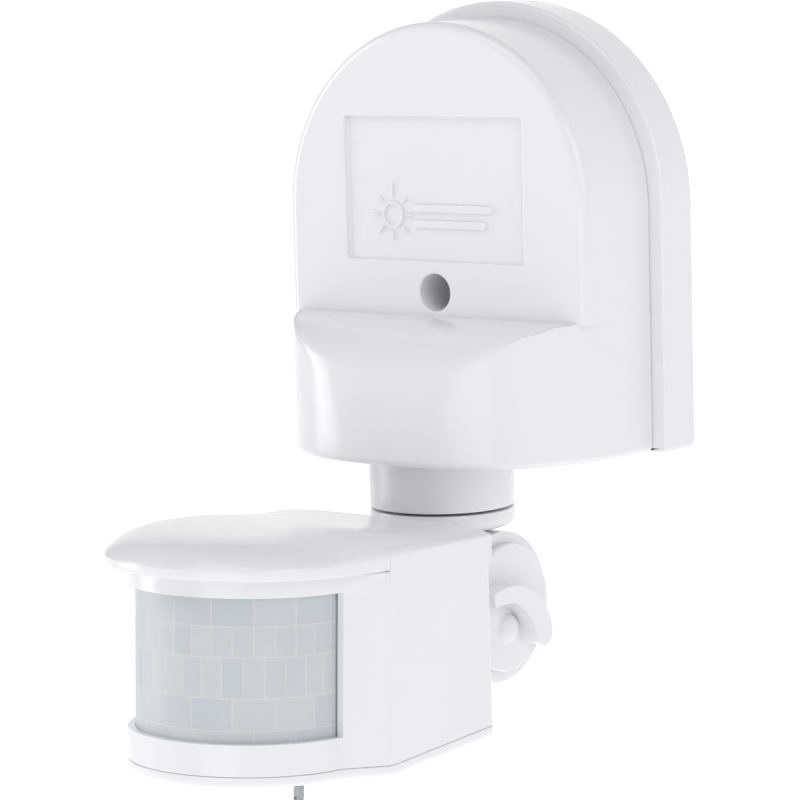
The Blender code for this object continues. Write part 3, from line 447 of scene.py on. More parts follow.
# ---- junction box
def arch(half, foot, y, foot_round=1.2):
    """The arched outline at depth y, from the lower right corner round to the lower left."""
    nick = 0.3 * foot_round
    corner = [(half - foot_round, foot), (half - nick, foot + nick), (half, foot + foot_round)]
    outline = list(corner)
    for k in range(ARC + 1):
        angle = math.pi * k / ARC
        outline.append((half * math.cos(angle), ARCH_Z + half * math.sin(angle)))
    outline += [(-x, z) for x, z in reversed(corner)]
    return [(x, y, z) for x, z in outline]


def make_wall_plate():
    """The plate against the wall: a rim round the seal's groove and a thin floor with its holes."""
    front = PLATE_FRONT
    edge = [(1.1, 0.0), (0.45, -0.12), (0.12, -0.45), (0.0, -1.0)]
    for k in range(7):
        turn = math.pi / 12 * k
        edge.append((PLATE_EDGE * (1 - math.cos(turn)), front + PLATE_EDGE * (1 - math.sin(turn))))
    rings = [arch(PLATE_HALF - inset, FOOT + min(inset, 1.6), y) for inset, y in edge]
    seal_low, seal_high = span("cover_seal")
    seal_half = seal_high.x + GAP
    seal_foot = seal_low.z - GAP
    seal_floor = seal_high.y + GAP
    inner_half = PLATE_HALF - PLATE_WALL
    inner_foot = FOOT + PLATE_WALL - 2.6
    for half, foot, y in (
        (seal_half, seal_foot, front),
        (seal_half, seal_foot, seal_floor),
        (seal_half - SEAL_LAND, seal_foot + SEAL_LAND, seal_floor),
        (seal_half - SEAL_LAND, seal_foot + SEAL_LAND, front),
        (inner_half, inner_foot, front),
        (inner_half, inner_foot, -PLATE_SKIN),
    ):
        rings.append(arch(half, foot, y, 1.0))
    plate = loft("back_plate", rings)
    add(plate, rod("boss", "Y", (0, ACCESS_Z), 5.2, -1.0, TUBE_END + GAP))
    dish = [(DISH_R, 1.0), (DISH_R, -DISH_DEEP), (0.0, -DISH_DEEP), (0.0, 1.0)]
    cutters = [
        rod("pilot", "Y", (0, ACCESS_Z), 1.9, -PLATE_SKIN - 1.4, TUBE_END - 1.0),
        rod("entry", "Y", (0, ENTRY_Z), ENTRY_R, 1.0, -PLATE_SKIN - 1.0),
        turned("dish", rounded(dish, 0.2), "Y", (0, ENTRY_Z)),
    ]
    sink = [(0, 1), (4.4, 1), (4.4, -0.3), (0, -0.3)]
    for hole_z in WALL_HOLES:
        cutters.append(rod("hole", "Y", (0, hole_z), WALL_HOLE_R, 1.0, -PLATE_SKIN - 1.0))
        cutters.append(turned("sink", sink, "Y", (0, hole_z)))
    # shallow moulding recesses on the back, which keep its walls even
    for side in (-1, 1):
        for row in range(3):
            z = POCKET_LOW + POCKET_STEP * row
            low = (side * POCKET_X - POCKET_HALF, -DISH_DEEP, z)
            high = (side * POCKET_X + POCKET_HALF, 1.0, z + POCKET_TALL)
            cutters.append(rounded_block("pocket", low, high, 2.0))
    cut(plate, *cutters)
    return soften(plate, 0.15, 2)


def rounded_block(name, low, high, corner):
    """A block along Y with rounded corners in (x, z)."""
    outline = rounded_box((low[0], low[2]), (high[0], high[2]), corner)
    return prism(name, outline, "Y", low[1], high[1])


def rounded_box(low, high, corner):
    """The outline of a rectangle with rounded corners."""
    outline = []
    for cx, cy, start in (
        (high[0] - corner, high[1] - corner, 0),
        (low[0] + corner, high[1] - corner, 90),
        (low[0] + corner, low[1] + corner, 180),
        (high[0] - corner, low[1] + corner, 270),
    ):
        for k in range(9):
            angle = math.radians(start + 90 * k / 8)
            outline.append((cx + corner * math.cos(angle), cy + corner * math.sin(angle)))
    return outline


def soft_min(a, b, soft):
    """The smaller of a and b, with the corner between them rounded over `soft`."""
    blend = max(soft - abs(a - b), 0.0) / soft
    return min(a, b) - blend * blend * soft * 0.25


def lower_ring(z, inset=0.0, grow=0.0):
    """The plan of the cover's lower front at height z: a squarish round cut flat by the shoulder above it."""
    half = COVER_HALF - inset
    deep = BELLY_BACK - COVER_FRONT - inset
    reach = BELLY_BACK - COVER_FACE - inset
    down = (SHOULDER_END - z) / (SHOULDER_END - FOOT)
    rise = min(1.0, max(0.0, (z - SHOULDER_END) / (LEDGE - SHOULDER_END)))
    limit = reach + (deep - reach) * math.sqrt(1.0 - rise * rise)
    soft = (CREASE_SOFT + CREASE_FADE * (1.0 - rise) ** 2) * (1.0 - min(0.98, 1.4 * max(0.0, down)))
    back = COVER_BACK + grow
    outline = [(half - BACK_CHAMFER, back), (half, back - BACK_CHAMFER), (half, BELLY_BACK + 0.6)]
    for k in range(ARC + 1):
        cosine = math.cos(math.pi * k / ARC)
        sine = math.sin(math.pi * k / ARC)
        radius = (abs(cosine / half) ** BELLY_POWER + abs(sine / deep) ** BELLY_POWER) ** (-1 / BELLY_POWER)
        if sine > 0.02:
            radius = soft_min(radius, limit / sine, soft)
        outline.append((radius * cosine, BELLY_BACK - radius * sine))
    outline += [(-x, y) for x, y in reversed(outline[:3])]
    return [(x, y, z) for x, y in outline]


def make_cover_shell():
    """The arched upper part of the cover and its bulged lower front, still solid."""
    sill = LEDGE - 0.4
    rings = [
        arch(COVER_HALF - BACK_CHAMFER, sill, COVER_BACK, SHARP_FOOT),
        arch(COVER_HALF, sill, COVER_BACK - BACK_CHAMFER, SHARP_FOOT),
        arch(COVER_HALF, sill, COVER_FACE + COVER_FILLET, SHARP_FOOT),
    ]
    for k in range(1, 11):
        turn = math.pi / 20 * k
        inset = COVER_FILLET * (1 - math.cos(turn))
        depth = COVER_FACE + COVER_FILLET * (1 - math.sin(turn))
        rings.append(arch(COVER_HALF - inset, sill, depth, SHARP_FOOT))
    cover = loft("junction_cover", rings, strips=False)
    rings = []
    for k in range(7):
        turn = math.pi / 12 * k
        inset = FOOT_ROUND * (1 - math.sin(turn))
        rings.append(lower_ring(FOOT + FOOT_ROUND * (1 - math.cos(turn)), inset))
    straight = SHOULDER_END - 0.5 - FOOT - 4.0
    rings += [lower_ring(FOOT + 4.0 + straight * k / 5) for k in range(6)]
    # the last rings thin out towards the ledge, where they come close together
    for k in (*range(29), 30, 32):
        rings.append(lower_ring(SHOULDER_END + SHOULDER_TALL * math.sin(math.pi / 64 * k)))
    return add(cover, loft("lower_front", rings, strips=False))


def make_front_cover():
    """The hollowed cover with its screw access, post hole and label recess."""
    cover = make_cover_shell()
    inner = COVER_HALF - COVER_WALL
    depths = (COVER_BACK + 1.0, COVER_FACE + COVER_WALL)
    cavity = [arch(inner, LEDGE - 5.0, y, SHARP_FOOT) for y in depths]
    hollow = [lower_ring(z, COVER_WALL, 1.0) for z in (FOOT + COVER_WALL, SHOULDER_END - 1.0)]
    for k in range(1, 13):
        level = SHOULDER_END + SHOULDER_TALL * math.sin(math.pi / 24 * k) * 0.82
        hollow.append(lower_ring(level, COVER_WALL + 0.4, 1.0))
    cut(cover, loft("cavity", cavity), loft("hollow", hollow))
    add(cover, rod("tube", "Y", (0, ACCESS_Z), TUBE_R, COVER_FACE + 1.0, TUBE_END))
    mouth = [(0, COVER_FACE - 1.0), (ACCESS_R + RIM_ROUND, COVER_FACE - 1.0)]
    mouth += [(ACCESS_R + out, COVER_FACE + deep) for out, deep in flare(RIM_ROUND)]
    mouth += [(ACCESS_R, SEAT_Y), (0, SEAT_Y)]
    cut(
        cover,
        turned("access", mouth, "Y", (0, ACCESS_Z)),
        rod("shank", "Y", (0, ACCESS_Z), 2.2, SEAT_Y - 1.0, TUBE_END + 1.0),
        rod("post_hole", "Z", PAN_AT, 11.3, FOOT - 1.0, FOOT + COVER_WALL + 1.0),
        make_label_cutter(),
    )
    return soften(weld(cover), 0.25, 3)


def flare(size, steps=5):
    """The quarter round of a softened rim: how far out from the wall, and how deep."""
    turns = [math.pi / 2 * k / steps for k in range(steps + 1)]
    return [(size * (1 - math.sin(turn)), size * (1 - math.cos(turn))) for turn in turns]


def make_label_cutter():
    """The label recess: a softened rim, walls with a little draft and a small fillet round its floor."""
    rings = []
    levels = [(RIM_ROUND, -1.0), *flare(RIM_ROUND), (-0.03, LABEL_DEEP - 0.2), (-0.09, LABEL_DEEP - 0.06)]
    for grow, deep in [*levels, (-0.25, LABEL_DEEP)]:
        low = (-LABEL_HALF - grow, LABEL_LOW - grow)
        high = (LABEL_HALF + grow, LABEL_HIGH + grow)
        rings.append([(x, COVER_FACE + deep, z) for x, z in rounded_box(low, high, LABEL_CORNER + grow)])
    return loft("label", rings)


def make_label_relief():
    """A plain lamp sign and two plain bars, raised from the floor of the label recess."""
    floor = COVER_FACE + LABEL_DEEP
    root = floor + 0.2  # a little inside the floor
    top = floor - 0.45
    sign = (-10.7, 2.4)
    ring = [(2.1, root), (2.75, root), (2.75, top), (2.1, top)]
    bodies = [turned("lamp", rounded(ring, 0.15), "Y", sign)]
    for ray in range(8):
        angle = math.pi / 4 * ray
        near = Vector((math.cos(angle), math.sin(angle)))
        side = Vector((-near.y, near.x)) * 0.24
        start = near * 3.5
        end = near * (6.4 if ray == 2 else 5.2)
        outline = [start + side, end + side, end - side, start - side]
        outline = [(sign[0] + p.x, sign[1] + p.y) for p in outline]
        bodies.append(prism("ray", outline, "Y", root, top))
    for row, (start, end) in enumerate(((-5.2, 14.6), (-5.2, 13.0))):
        z = 3.9 - 3.2 * row
        bodies.append(rounded_block("bar", (start, top, z - 0.75), (end, root, z + 0.75), 0.7))
    for body in bodies:
        soften(body, 0.14, 2)
    return join("label_relief", bodies)


place_piece(make_wall_plate(), "box", white, "white_plastic", "wall_plate")
place_piece(make_front_cover(), "box", white, "white_plastic", "front_cover")
place_piece(make_label_relief(), "box", white, "white_plastic")

# ---- post and arm, about the pan axis
def make_post():
    """The fixed sleeve under the box, with a neck through the cover's foot."""
    floor = FOOT - GAP
    inner, neck = 8.3, 11.0
    high, low = post_high.z, post_low.z
    profile = [(inner, high), (neck, high), (neck, floor), (POST_R, floor), (POST_R, low), (inner, low)]
    return turned("post", [*rounded(profile, 0.5), (inner, high - 1.0)], "Z", PAN_AT)


def make_arm():
    """Spigot, collar and lug, bored for the wires and the clamp bolt."""
    collar_high = post_low.z - 0.5
    collar_low = collar_high - 3.7
    chin = 1.8  # rounding under the collar
    spigot, groove = 8.0, 7.2
    clip_low, clip_high = span("pan_clip")
    top = arm_high.z
    profile = [(0.0, top), (spigot, top), (spigot, clip_high.z + GAP / 2), (groove, clip_high.z + GAP / 2)]
    profile += [(groove, clip_low.z - GAP / 2), (spigot, clip_low.z - GAP / 2), (spigot, collar_high)]
    collar = [(spigot, collar_high), (POST_R, collar_high), (POST_R, collar_low), (0.0, collar_low)]
    profile += rounded(collar, 0.45)[1:4]
    profile += [(POST_R, collar_high - 0.5), (POST_R, collar_low + chin)]
    for k in range(1, 9):
        turn = math.pi / 16 * k
        profile.append((POST_R - chin * (1 - math.cos(turn)), collar_low + chin * (1 - math.sin(turn))))
    arm = turned("arm", [*profile, (0.0, collar_low)], "Z", PAN_AT)
    pivot_z = JOINTS["head_tilt"]["pos_m"][2] / MM
    neck_low = (-LUG_HALF, POST_Y - 8.5, pivot_z)
    neck = block("neck", neck_low, (LUG_HALF, POST_Y + 8.5, collar_low + 1.5))
    add(arm, neck, rod("lug", "X", (POST_Y, pivot_z), LUG_R, -LUG_HALF, LUG_HALF, segs=TURN))
    cut(
        arm,
        rod("wire", "Z", PAN_AT, WIRE_R, pivot_z + 7.5, top + 1.0),
        rod("exit", "Y", (0.0, pivot_z + 9.4), 3.0, POST_Y - LUG_R - 2.0, POST_Y),
        rod("bolt_hole", "X", (POST_Y, pivot_z), BOLT_HOLE_R, -LUG_HALF - 1.0, LUG_HALF + 1.0),
    )
    return soften(weld(arm), 0.4, 3)


place_piece(make_post(), "box", white, "white_plastic", "swivel_post")
place_piece(make_arm(), "arm", white, "white_plastic", "swivel_arm")

# ---- head, in the HEAD frame
visor_low, _ = span("top_visor", HEAD)
floor_low, floor_high = span("bottom_cover", HEAD)
lens_low, lens_high = span("fresnel_lens", HEAD)
SIDE_HALF = floor_high.x
BAND_R = 23.0
LENS_R = lens_high.x
LENS_Y = lens_low.y + LENS_R
HEAD_BOTTOM = floor_low.z
HEAD_TOP = 14.1
HEAD_WALL = 1.4
REAR_Y = -22.0
REAR_LEAN = 0.057
SIDE_FRONT = -54.0
RISE = 3.0
RISE_FROM = -52.0
COVER_T = 2.1
VISOR_HALF = 27.2
VISOR_DEEP = 25.0
VISOR_Y = visor_low.y + VISOR_DEEP
VISOR_RIM = 16.2
VISOR_SLOPE = 0.027
CROWN_FRONT = 4.9
CROWN_REAR = 1.4
CROWN_POWER = 6.0
CROWN_RINGS = 26
CROWN_REACH = 0.94  # how far in from the rim the last ring lies
CROWN_CLOSING = 1.7  # how much closer the rings lie at the rim
WINDOW_LOW = -16.8
WINDOW_HIGH = 10.6
FORK_IN = 6.1
FORK_OUT = 14.4
FORK_R = 15.3
FORK_STEP = 0.1  # how far the fork's webs stay behind its round cheeks
BOSS_R = 2.6
BOSS_TALL = 9.0
PILOT_R = 1.3
SCREW_X = 23.2
SCREW_YS = (-50.0, -28.0)
SCREW_SPOTS = [(side * SCREW_X, y) for y in SCREW_YS for side in (-1, 1)]
SCREW_SEAT = 1.2  # depth of a screw's seat in the bottom cover


def rear_at(z):
    return REAR_Y + REAR_LEAN * max(0.0, HEAD_TOP - z)


def floor_at(y):
    return HEAD_BOTTOM + RISE * max(0.0, (y - RISE_FROM) / (REAR_Y - RISE_FROM))


def head_ring(inset, level):
    """The head's plan; `level` is a height, or a function of y for an edge that isn't level."""
    radius = BAND_R - inset
    side = SIDE_HALF - inset
    cheek = SIDE_FRONT + 0.45 * inset
    height = level if callable(level) else (lambda y: level)
    rear = rear_at(height(REAR_Y)) - inset
    corner = 1.8
    # from the rear corner along the side, over the cheek's front edge and in to the round band
    flank = []
    for k in range(7):
        turn = math.pi / 12 * (6 - k)
        flank.append((side - corner + corner * math.cos(turn), rear - corner + corner * math.sin(turn)))
    flank += [(side, -30.0), (side, -40.0), (side, RISE_FROM), (side, cheek + 0.6)]
    flank += [(side - 0.12, cheek - 0.1), (side - 0.55, cheek - 0.75)]
    flank += [(radius + 1.6, LENS_Y + 2.5), (radius + 0.55, LENS_Y + 0.7)]
    outline = list(flank)
    for k in range(1, ARC):
        turn = math.pi * k / ARC
        outline.append((radius * math.cos(turn), LENS_Y - radius * math.sin(turn)))
    outline += [(-x, y) for x, y in reversed(flank)]
    return [(x, y, height(y)) for x, y in outline]


def crown_ring(scale, inset=0.0, flat=None):
    """One ring of the crowned top, `scale` of the way out from its middle; level at `flat` if given."""
    places = []
    for y in (REAR_Y, -26.0, -31.0, -36.0, -41.0, -46.0, -50.0, SIDE_FRONT, -55.5, -57.0, -59.0, -61.0):
        spread = min(1.0, (y - VISOR_Y) / (SIDE_FRONT - VISOR_Y))
        spread = spread * spread * (3 - 2 * spread)
        places.append((VISOR_HALF + (SIDE_HALF - VISOR_HALF) * spread, y))
    outline = [(scale * (half - inset), y) for half, y in places]
    deep = scale * (VISOR_DEEP - inset)
    for k in range(ARC + 1):
        angle = math.pi * k / ARC
        outline.append((scale * (VISOR_HALF - inset) * math.cos(angle), VISOR_Y - deep * math.sin(angle)))
    outline += [(-scale * (half - inset), y) for half, y in reversed(places)]
    ring = []
    for x, y in outline:
        back = max(0.0, (y - VISOR_Y) / (REAR_Y - VISOR_Y))
        back = back * back * (3 - 2 * back)
        rise = CROWN_FRONT + (CROWN_REAR - CROWN_FRONT) * back
        z = VISOR_RIM + VISOR_SLOPE * (y - VISOR_Y + VISOR_DEEP) + rise * (1.0 - scale**CROWN_POWER)
        ring.append((x, y, z if flat is None else flat))
    return ring


def crown(name, low):
    """The crowned top of the head from the level `low` up, before it is parted into lid and walls."""
    rim = ((0.7, 0.0), (0.3, 0.1), (0.08, 0.3), (0.0, 0.6))
    rings = [crown_ring(1.0, inset, low + rise) for inset, rise in rim]
    top = crown_ring(1.0)
    rings.append([(x, y, z - 0.5) for x, y, z in top])
    rings.append([(0.9985 * x, y, z - 0.12) for x, y, z in top])
    for k in range(2, CROWN_RINGS + 1):
        rings.append(crown_ring(1.0 - CROWN_REACH * (k / CROWN_RINGS) ** CROWN_CLOSING))
    return loft(name, rings, HEAD)


def wall_run(name, gap):
    """The U of the head's side and rear walls, its inner face moved in by `gap`."""
    outer = SIDE_HALF + 3.0
    inner = SIDE_HALF - HEAD_WALL - gap
    rear = REAR_Y + 3.0
    front = SIDE_FRONT - gap
    back = REAR_Y - HEAD_WALL - gap
    outline = [(outer, front), (outer, rear), (-outer, rear), (-outer, front)]
    outline += [(-inner, front), (-inner, back), (inner, back), (inner, front)]
    return prism(name, outline, "Z", HEAD_TOP - 2.0, HEAD_TOP + 12.0, HEAD)


def add_fork(housing):
    """The two round cheeks that hold the lug, and the webs that carry them."""
    for side in (-1, 1):
        near, far = sorted((side * FORK_IN, side * FORK_OUT))
        web_low = (near + FORK_STEP, REAR_Y - 0.7, -12.0)
        add(
            housing,
            rod("fork", "X", (0, 0), FORK_R, near, far, HEAD, TURN),
            block("web", web_low, (far - FORK_STEP, -7.0, 9.0), HEAD),
        )
    cut(
        housing,
        rod("bolt_hole", "X", (0, 0), BOLT_HOLE_R, -FORK_OUT - 1.0, FORK_OUT + 1.0, HEAD),
        rod("wire_hole", "Y", (0, 6.0), WIRE_R, REAR_Y - HEAD_WALL - 1.0, REAR_Y + 2.0, HEAD),
        prism("hex_seat", hexagon(NUT_FLATS), "X", -FORK_OUT - 1.0, -FORK_OUT + 3.7, HEAD),
        rod("hub_seat", "X", (0, 0), 6.8, FORK_OUT - 3.9, FORK_OUT + 1.0, HEAD),
    )


def add_bosses(housing, seam):
    """Four screw bosses inside, each with a rib to the nearest side wall."""
    for x, y in SCREW_SPOTS:
        low = floor_at(y) + seam + 0.4
        near, far = sorted((x, math.copysign(SIDE_HALF - HEAD_WALL / 2, x)))
        add(
            housing,
            rod("boss", "Z", (x, y), BOSS_R, low, low + BOSS_TALL, HEAD, 32),
            block("rib", (near, y - 0.8, low + 1.0), (far, y + 0.8, low + 8.0), HEAD),
        )
        cut(housing, rod("pilot", "Z", (x, y), PILOT_R, low - 1.0, low + 7.4, HEAD, 24))


def make_housing():
    """The shell of the head: walls, window, fork and screw bosses."""
    seam = COVER_T + SEAM
    rings = [
        head_ring(0.12, lambda y: floor_at(y) + seam),
        head_ring(0.0, lambda y: floor_at(y) + seam + 0.12),
        head_ring(0.0, HEAD_BOTTOM + 8.0),
        head_ring(0.0, HEAD_TOP - 0.3),
        head_ring(0.3, HEAD_TOP),
    ]
    housing = loft("housing", rings, HEAD)
    cap = crown("wall_cap", HEAD_TOP - 3.0)
    keep(cap, wall_run("wall_keep", 0.0))
    add(housing, cap)
    cavity = loft("cavity", [head_ring(HEAD_WALL, z) for z in (HEAD_BOTTOM - 1.0, HEAD_TOP)], HEAD)
    mouth = loft("mouth", [head_ring(HEAD_WALL, z) for z in (HEAD_TOP - 0.5, HEAD_TOP + 12.0)], HEAD)
    reach = BAND_R + 1.0
    window = block("window", (-reach, LENS_Y - reach, WINDOW_LOW), (reach, LENS_Y, WINDOW_HIGH), HEAD)
    cut(housing, cavity, mouth, window)
    add_fork(housing)
    add_bosses(housing, seam)
    return soften(weld(housing), 0.14, 2)


NUT_FLATS = 8.0 + 2 * GAP


def hexagon(flats):
    """A hexagon by its width across flats."""
    radius = flats / 2 / math.cos(math.pi / 6)
    return [(radius * math.cos(math.pi / 3 * k), radius * math.sin(math.pi / 3 * k)) for k in range(6)]


def make_visor():
    """The lid that overhangs the lens, with a lip that locates it in the walls."""
    low = HEAD_TOP + SEAM
    visor = crown("visor", low)
    cut(visor, wall_run("wall_cut", SEAM))
    lip_inset = HEAD_WALL + GAP
    add(visor, loft("lip", [head_ring(lip_inset, z) for z in (HEAD_TOP - 1.8, low + 0.5)], HEAD))
    cut(visor, loft("hollow", [head_ring(lip_inset + 1.2, z) for z in (HEAD_TOP - 2.8, 16.8)], HEAD))
    return soften(weld(visor), 0.08, 2, 42.0)


def make_floor():
    """The plate under the head, with dial holes ringed by fine grooves and four screw seats."""
    edge = [(1.3, 0.0), (0.75, 0.08), (0.3, 0.35), (0.08, 0.75), (0.0, 1.2)]
    edge += [(0.0, COVER_T - 0.12), (0.12, COVER_T)]
    rings = [head_ring(inset, lambda y, rise=rise: floor_at(y) + rise) for inset, rise in edge]
    floor = loft("floor", rings, HEAD)
    low, high = HEAD_BOTTOM - 1.0, HEAD_BOTTOM + 0.3
    ring = [(4.1, low), (4.5, low), (4.5, high), (4.1, high)]
    cutters = []
    for dial in DIALS:
        spot = dial_spot(dial)
        cutters.append(rod("dial_hole", "Z", spot, 2.9, low, HEAD_BOTTOM + 4.0, HEAD, 64))
        cutters.append(turned("ring", ring, "Z", spot, HEAD, 64))
    for x, y in SCREW_SPOTS:
        seat = floor_at(y) + SCREW_SEAT
        cutters.append(rod("sink", "Z", (x, y), 2.3, seat - 3.0, seat, HEAD, 48))
        cutters.append(rod("hole", "Z", (x, y), PILOT_R, seat - 1.0, seat + 3.0, HEAD, 24))
    cut(floor, *cutters)
    return soften(floor, 0.12, 2, 42.0)


DIALS = ("time", "lux", "range")


def dial_spot(dial):
    """Where a dial's axis crosses the head's plan."""
    spot = HEAD.inverted() @ Vector(JOINTS[f"{dial}_adjust"]["pos_m"]) / MM
    return spot.x, spot.y


# rows of the lens from the top down: height, arc of one segment, and how far the row is shifted round
LENS_ROWS = ((5.45, 8.0, 0.0), (5.8, 4.0, 0.0), (7.7, 4.0, 2.0), (6.1, 8.0, 4.0), (2.35, 8.0, 0.0))
LINE_HALF = 0.13  # half width of the fine raised line round each segment
# share of the pale lens colour on the fine lines: a painted highlight along the ridges, where they would catch
# the light
LINE_HIGHLIGHT_TONE = 0.85
LINE_SINK = 0.02  # how far the line lies under the crown of a segment
PILLOW = 0.06  # how far a segment's edge lies under its crown
SEGMENT_DRIFT = 0.4  # how far the segments differ in tone
LENS_PROUD = 0.25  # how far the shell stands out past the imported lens, which leaves no dark gap round it
LENS_THICK = 1.0
LENS_STEP = 2.0  # spacing round the arc, which divides every segment's arc
LENS_TURN = math.pi * LENS_R / 2  # the arc from the middle to where the sides run straight
LENS_TAIL = 2.0  # length of the straight sides
LENS_SEED = 7


def lens_levels():
    """Heights of the points from the top down, each with its row and the share of the row above it."""
    levels = [(lens_high.z, None), (WINDOW_HIGH, None)]
    top = WINDOW_HIGH
    for row, (tall, _, _) in enumerate(LENS_ROWS):
        for part in (LINE_HALF / tall, 0.22, 0.5, 0.78, 1.0 - LINE_HALF / tall, 1.0):
            levels.append((top - part * tall, (row, part)))
        top -= tall
    return [*levels, (lens_low.z, None)]


def lens_stops():
    """Places along the arc, from one end to the other."""
    stops = []
    first = int(LENS_TURN // LENS_STEP)
    for k in range(-first - 1, first + 1):
        for part in (0.0, LINE_HALF, 0.6, 1.0, 1.4, LENS_STEP - LINE_HALF):
            stops.append(k * LENS_STEP + part)
    limit = LENS_TURN + LENS_TAIL
    return [-limit, *(stop for stop in stops if abs(stop) < limit - 0.05), limit]


def lens_spot(stop, z, radius):
    """The point at a place along the arc."""
    if abs(stop) > LENS_TURN:
        return (math.copysign(radius, stop), LENS_Y + abs(stop) - LENS_TURN, z)
    angle = stop / LENS_R
    return (radius * math.sin(angle), LENS_Y - radius * math.cos(angle), z)


def lens_segment(stop, row):
    """The segment of the row at a place along the arc, and the share of it that lies before."""
    _, wide, shift = LENS_ROWS[row]
    along = (stop + shift) / wide
    return math.floor(along + 1e-6), along - math.floor(along + 1e-6)


def lens_dip(stop, cell):
    """How far the outer face lies under the crown of a segment."""
    if cell is None:
        return 0.0
    row, part = cell
    _, along = lens_segment(stop, row)
    if min(along, 1.0 - along) * LENS_ROWS[row][1] < 0.02 or part > 0.999:
        return LINE_SINK
    crown_share = (1.0 - (2 * along - 1) ** 2) * (1.0 - (2 * part - 1) ** 2)
    return PILLOW * (1.0 - crown_share)


def make_lens():
    """A half-round shell whose outer face is parted into crowned segments by fine lines."""
    shell = LENS_R + LENS_PROUD
    levels = lens_levels()
    stops = lens_stops()
    points = [lens_spot(stop, z, shell - lens_dip(stop, cell)) for z, cell in levels for stop in stops]
    outer = len(points)
    points += [lens_spot(stop, z, shell - LENS_THICK) for z, _ in levels for stop in stops]
    wide = len(stops)
    faces = []
    tones = []
    chance = random.Random(LENS_SEED)
    drawn = {}
    for i in range(len(levels) - 1):
        row = levels[i + 1][1][0] if levels[i + 1][1] else len(LENS_ROWS)
        in_rows = row < len(LENS_ROWS)
        across = LENS_ROWS[min(row, len(LENS_ROWS) - 1)][1]
        rise = abs(levels[i + 1][0] - levels[i][0])
        for j in range(wide - 1):
            a = i * wide + j
            middle = (stops[j] + stops[j + 1]) / 2
            column, along = lens_segment(middle, row) if in_rows else (0, 0.5)
            tone = SEGMENT_DRIFT * drawn.setdefault((row, column), chance.random())
            # the fine lines get the pale painted highlight instead of their segment's tone
            if min(along, 1.0 - along) * across < LINE_HALF or (in_rows and rise < 1.5 * LINE_HALF):
                tone = LINE_HIGHLIGHT_TONE
            faces.append((a, a + 1, a + wide + 1, a + wide))
            faces.append((outer + a + wide, outer + a + wide + 1, outer + a + 1, outer + a))
            tones += [tone, tone]
    rim = [i * wide for i in range(len(levels))]
    rim += [(len(levels) - 1) * wide + j for j in range(1, wide)]
    rim += [i * wide + wide - 1 for i in reversed(range(len(levels) - 1))]
    rim += list(reversed(range(1, wide - 1)))
    for a, b in zip(rim, [*rim[1:], rim[0]]):
        faces.append((a, outer + a, outer + b, b))
        tones.append(0.5)
    lens = solid("segmented_lens", points, faces, HEAD)
    segment_tone_and_line_highlight = lens.data.attributes.new("segment_tone_and_line_highlight", "FLOAT", "FACE")
    segment_tone_and_line_highlight.data.foreach_set("value", tones)
    return lens


place_piece(make_housing(), "head", white, "white_plastic", "head_housing")
place_piece(make_visor(), "head", white, "white_plastic", "top_visor", sharp=30.0)
place_piece(make_floor(), "head", white, "white_plastic", "bottom_cover")
place_piece(make_lens(), "head", milky, "lens_plastic", "fresnel_lens", sharp=20.0)


# ---- clamp knob
GRIP_LINE = (  # y, z and half thickness along the curved grip
    (-11.4, 2.9, 1.4),
    (-8.5, 3.5, 1.6),
    (-5.0, 3.6, 1.75),
    (-2.0, 2.9, 1.95),
    (1.0, 1.4, 2.2),
    (3.4, -0.6, 2.5),
    (5.1, -3.0, 2.7),
    (5.8, -5.2, 2.7),
)
GRIP_HIGH = 4.5


def smooth_line(points, steps=5):
    """A Catmull-Rom curve through the points."""
    ends = [points[0], *points, points[-1]]
    line = []
    for before, one, two, after in zip(ends, ends[1:], ends[2:], ends[3:]):
        for k in range(steps):
            t = k / steps
            place = []
            for p, q, r, s in zip(before, one, two, after):
                square = (2 * p - 5 * q + 4 * r - s) * t**2
                cube = (3 * q - p - 3 * r + s) * t**3
                place.append(0.5 * (2 * q + (r - p) * t + square + cube))
            line.append(place)
    return [*line, list(points[-1])]


def grip_outline():
    """The grip seen along the bolt: two sides from its line, and a round tip."""
    line = smooth_line(GRIP_LINE)
    upper = []
    lower = []
    for k, (y, z, half) in enumerate(line):
        before = line[max(0, k - 1)]
        after = line[min(len(line) - 1, k + 1)]
        run = math.hypot(after[0] - before[0], after[1] - before[1])
        across = (-(after[1] - before[1]) / run, (after[0] - before[0]) / run)
        upper.append((y + half * across[0], z + half * across[1]))
        lower.append((y - half * across[0], z - half * across[1]))
    tip_y, tip_z, tip_half = line[-1]
    turn = math.atan2(upper[-1][1] - tip_z, upper[-1][0] - tip_y)
    tip = []
    for k in range(1, 16):
        angle = turn - math.pi * k / 16
        tip.append((tip_y + tip_half * math.cos(angle), tip_z + tip_half * math.sin(angle)))
    return upper + tip + lower[::-1]


def make_knob():
    """The clamp knob: a disc with a curved grip, a small dome and a hub that holds the nut."""
    knob_low, knob_high = span("clamp_knob", HEAD)
    low = knob_low.x
    radius = knob_high.z
    back = 14.7
    face = back + 1.9
    hub_r = 6.4
    profile = [(0.0, low), (hub_r, low), (hub_r, back), (radius, back), (radius, face), (0.0, face)]
    knob = turned("knob", rounded(profile, 0.55), "X", (0, 0), HEAD)
    grip = soften(prism("grip", grip_outline(), "X", face - 0.8, face + GRIP_HIGH, HEAD), 1.1, 5, 50.0)
    dome = [(0.0, face - 0.7), (3.2, face - 0.7), (3.2, face)]
    dome += [(3.0 * math.cos(math.pi / 16 * k), face + 1.8 * math.sin(math.pi / 16 * k)) for k in range(1, 8)]
    add(knob, grip, turned("dome", [*dome, (0.0, face + 1.8)], "X", (-0.9, -4.2), HEAD, 64))
    cut(
        knob,
        prism("nut_seat", hexagon(NUT_FLATS), "X", low - 1.0, low + 4.0, HEAD),
        rod("bore", "X", (0, 0), BOLT_HOLE_R, low - 1.0, 15.9, HEAD),
    )
    return soften(weld(knob), 0.2, 2)


place_piece(make_knob(), "clamp", white, "white_plastic", "clamp_knob")


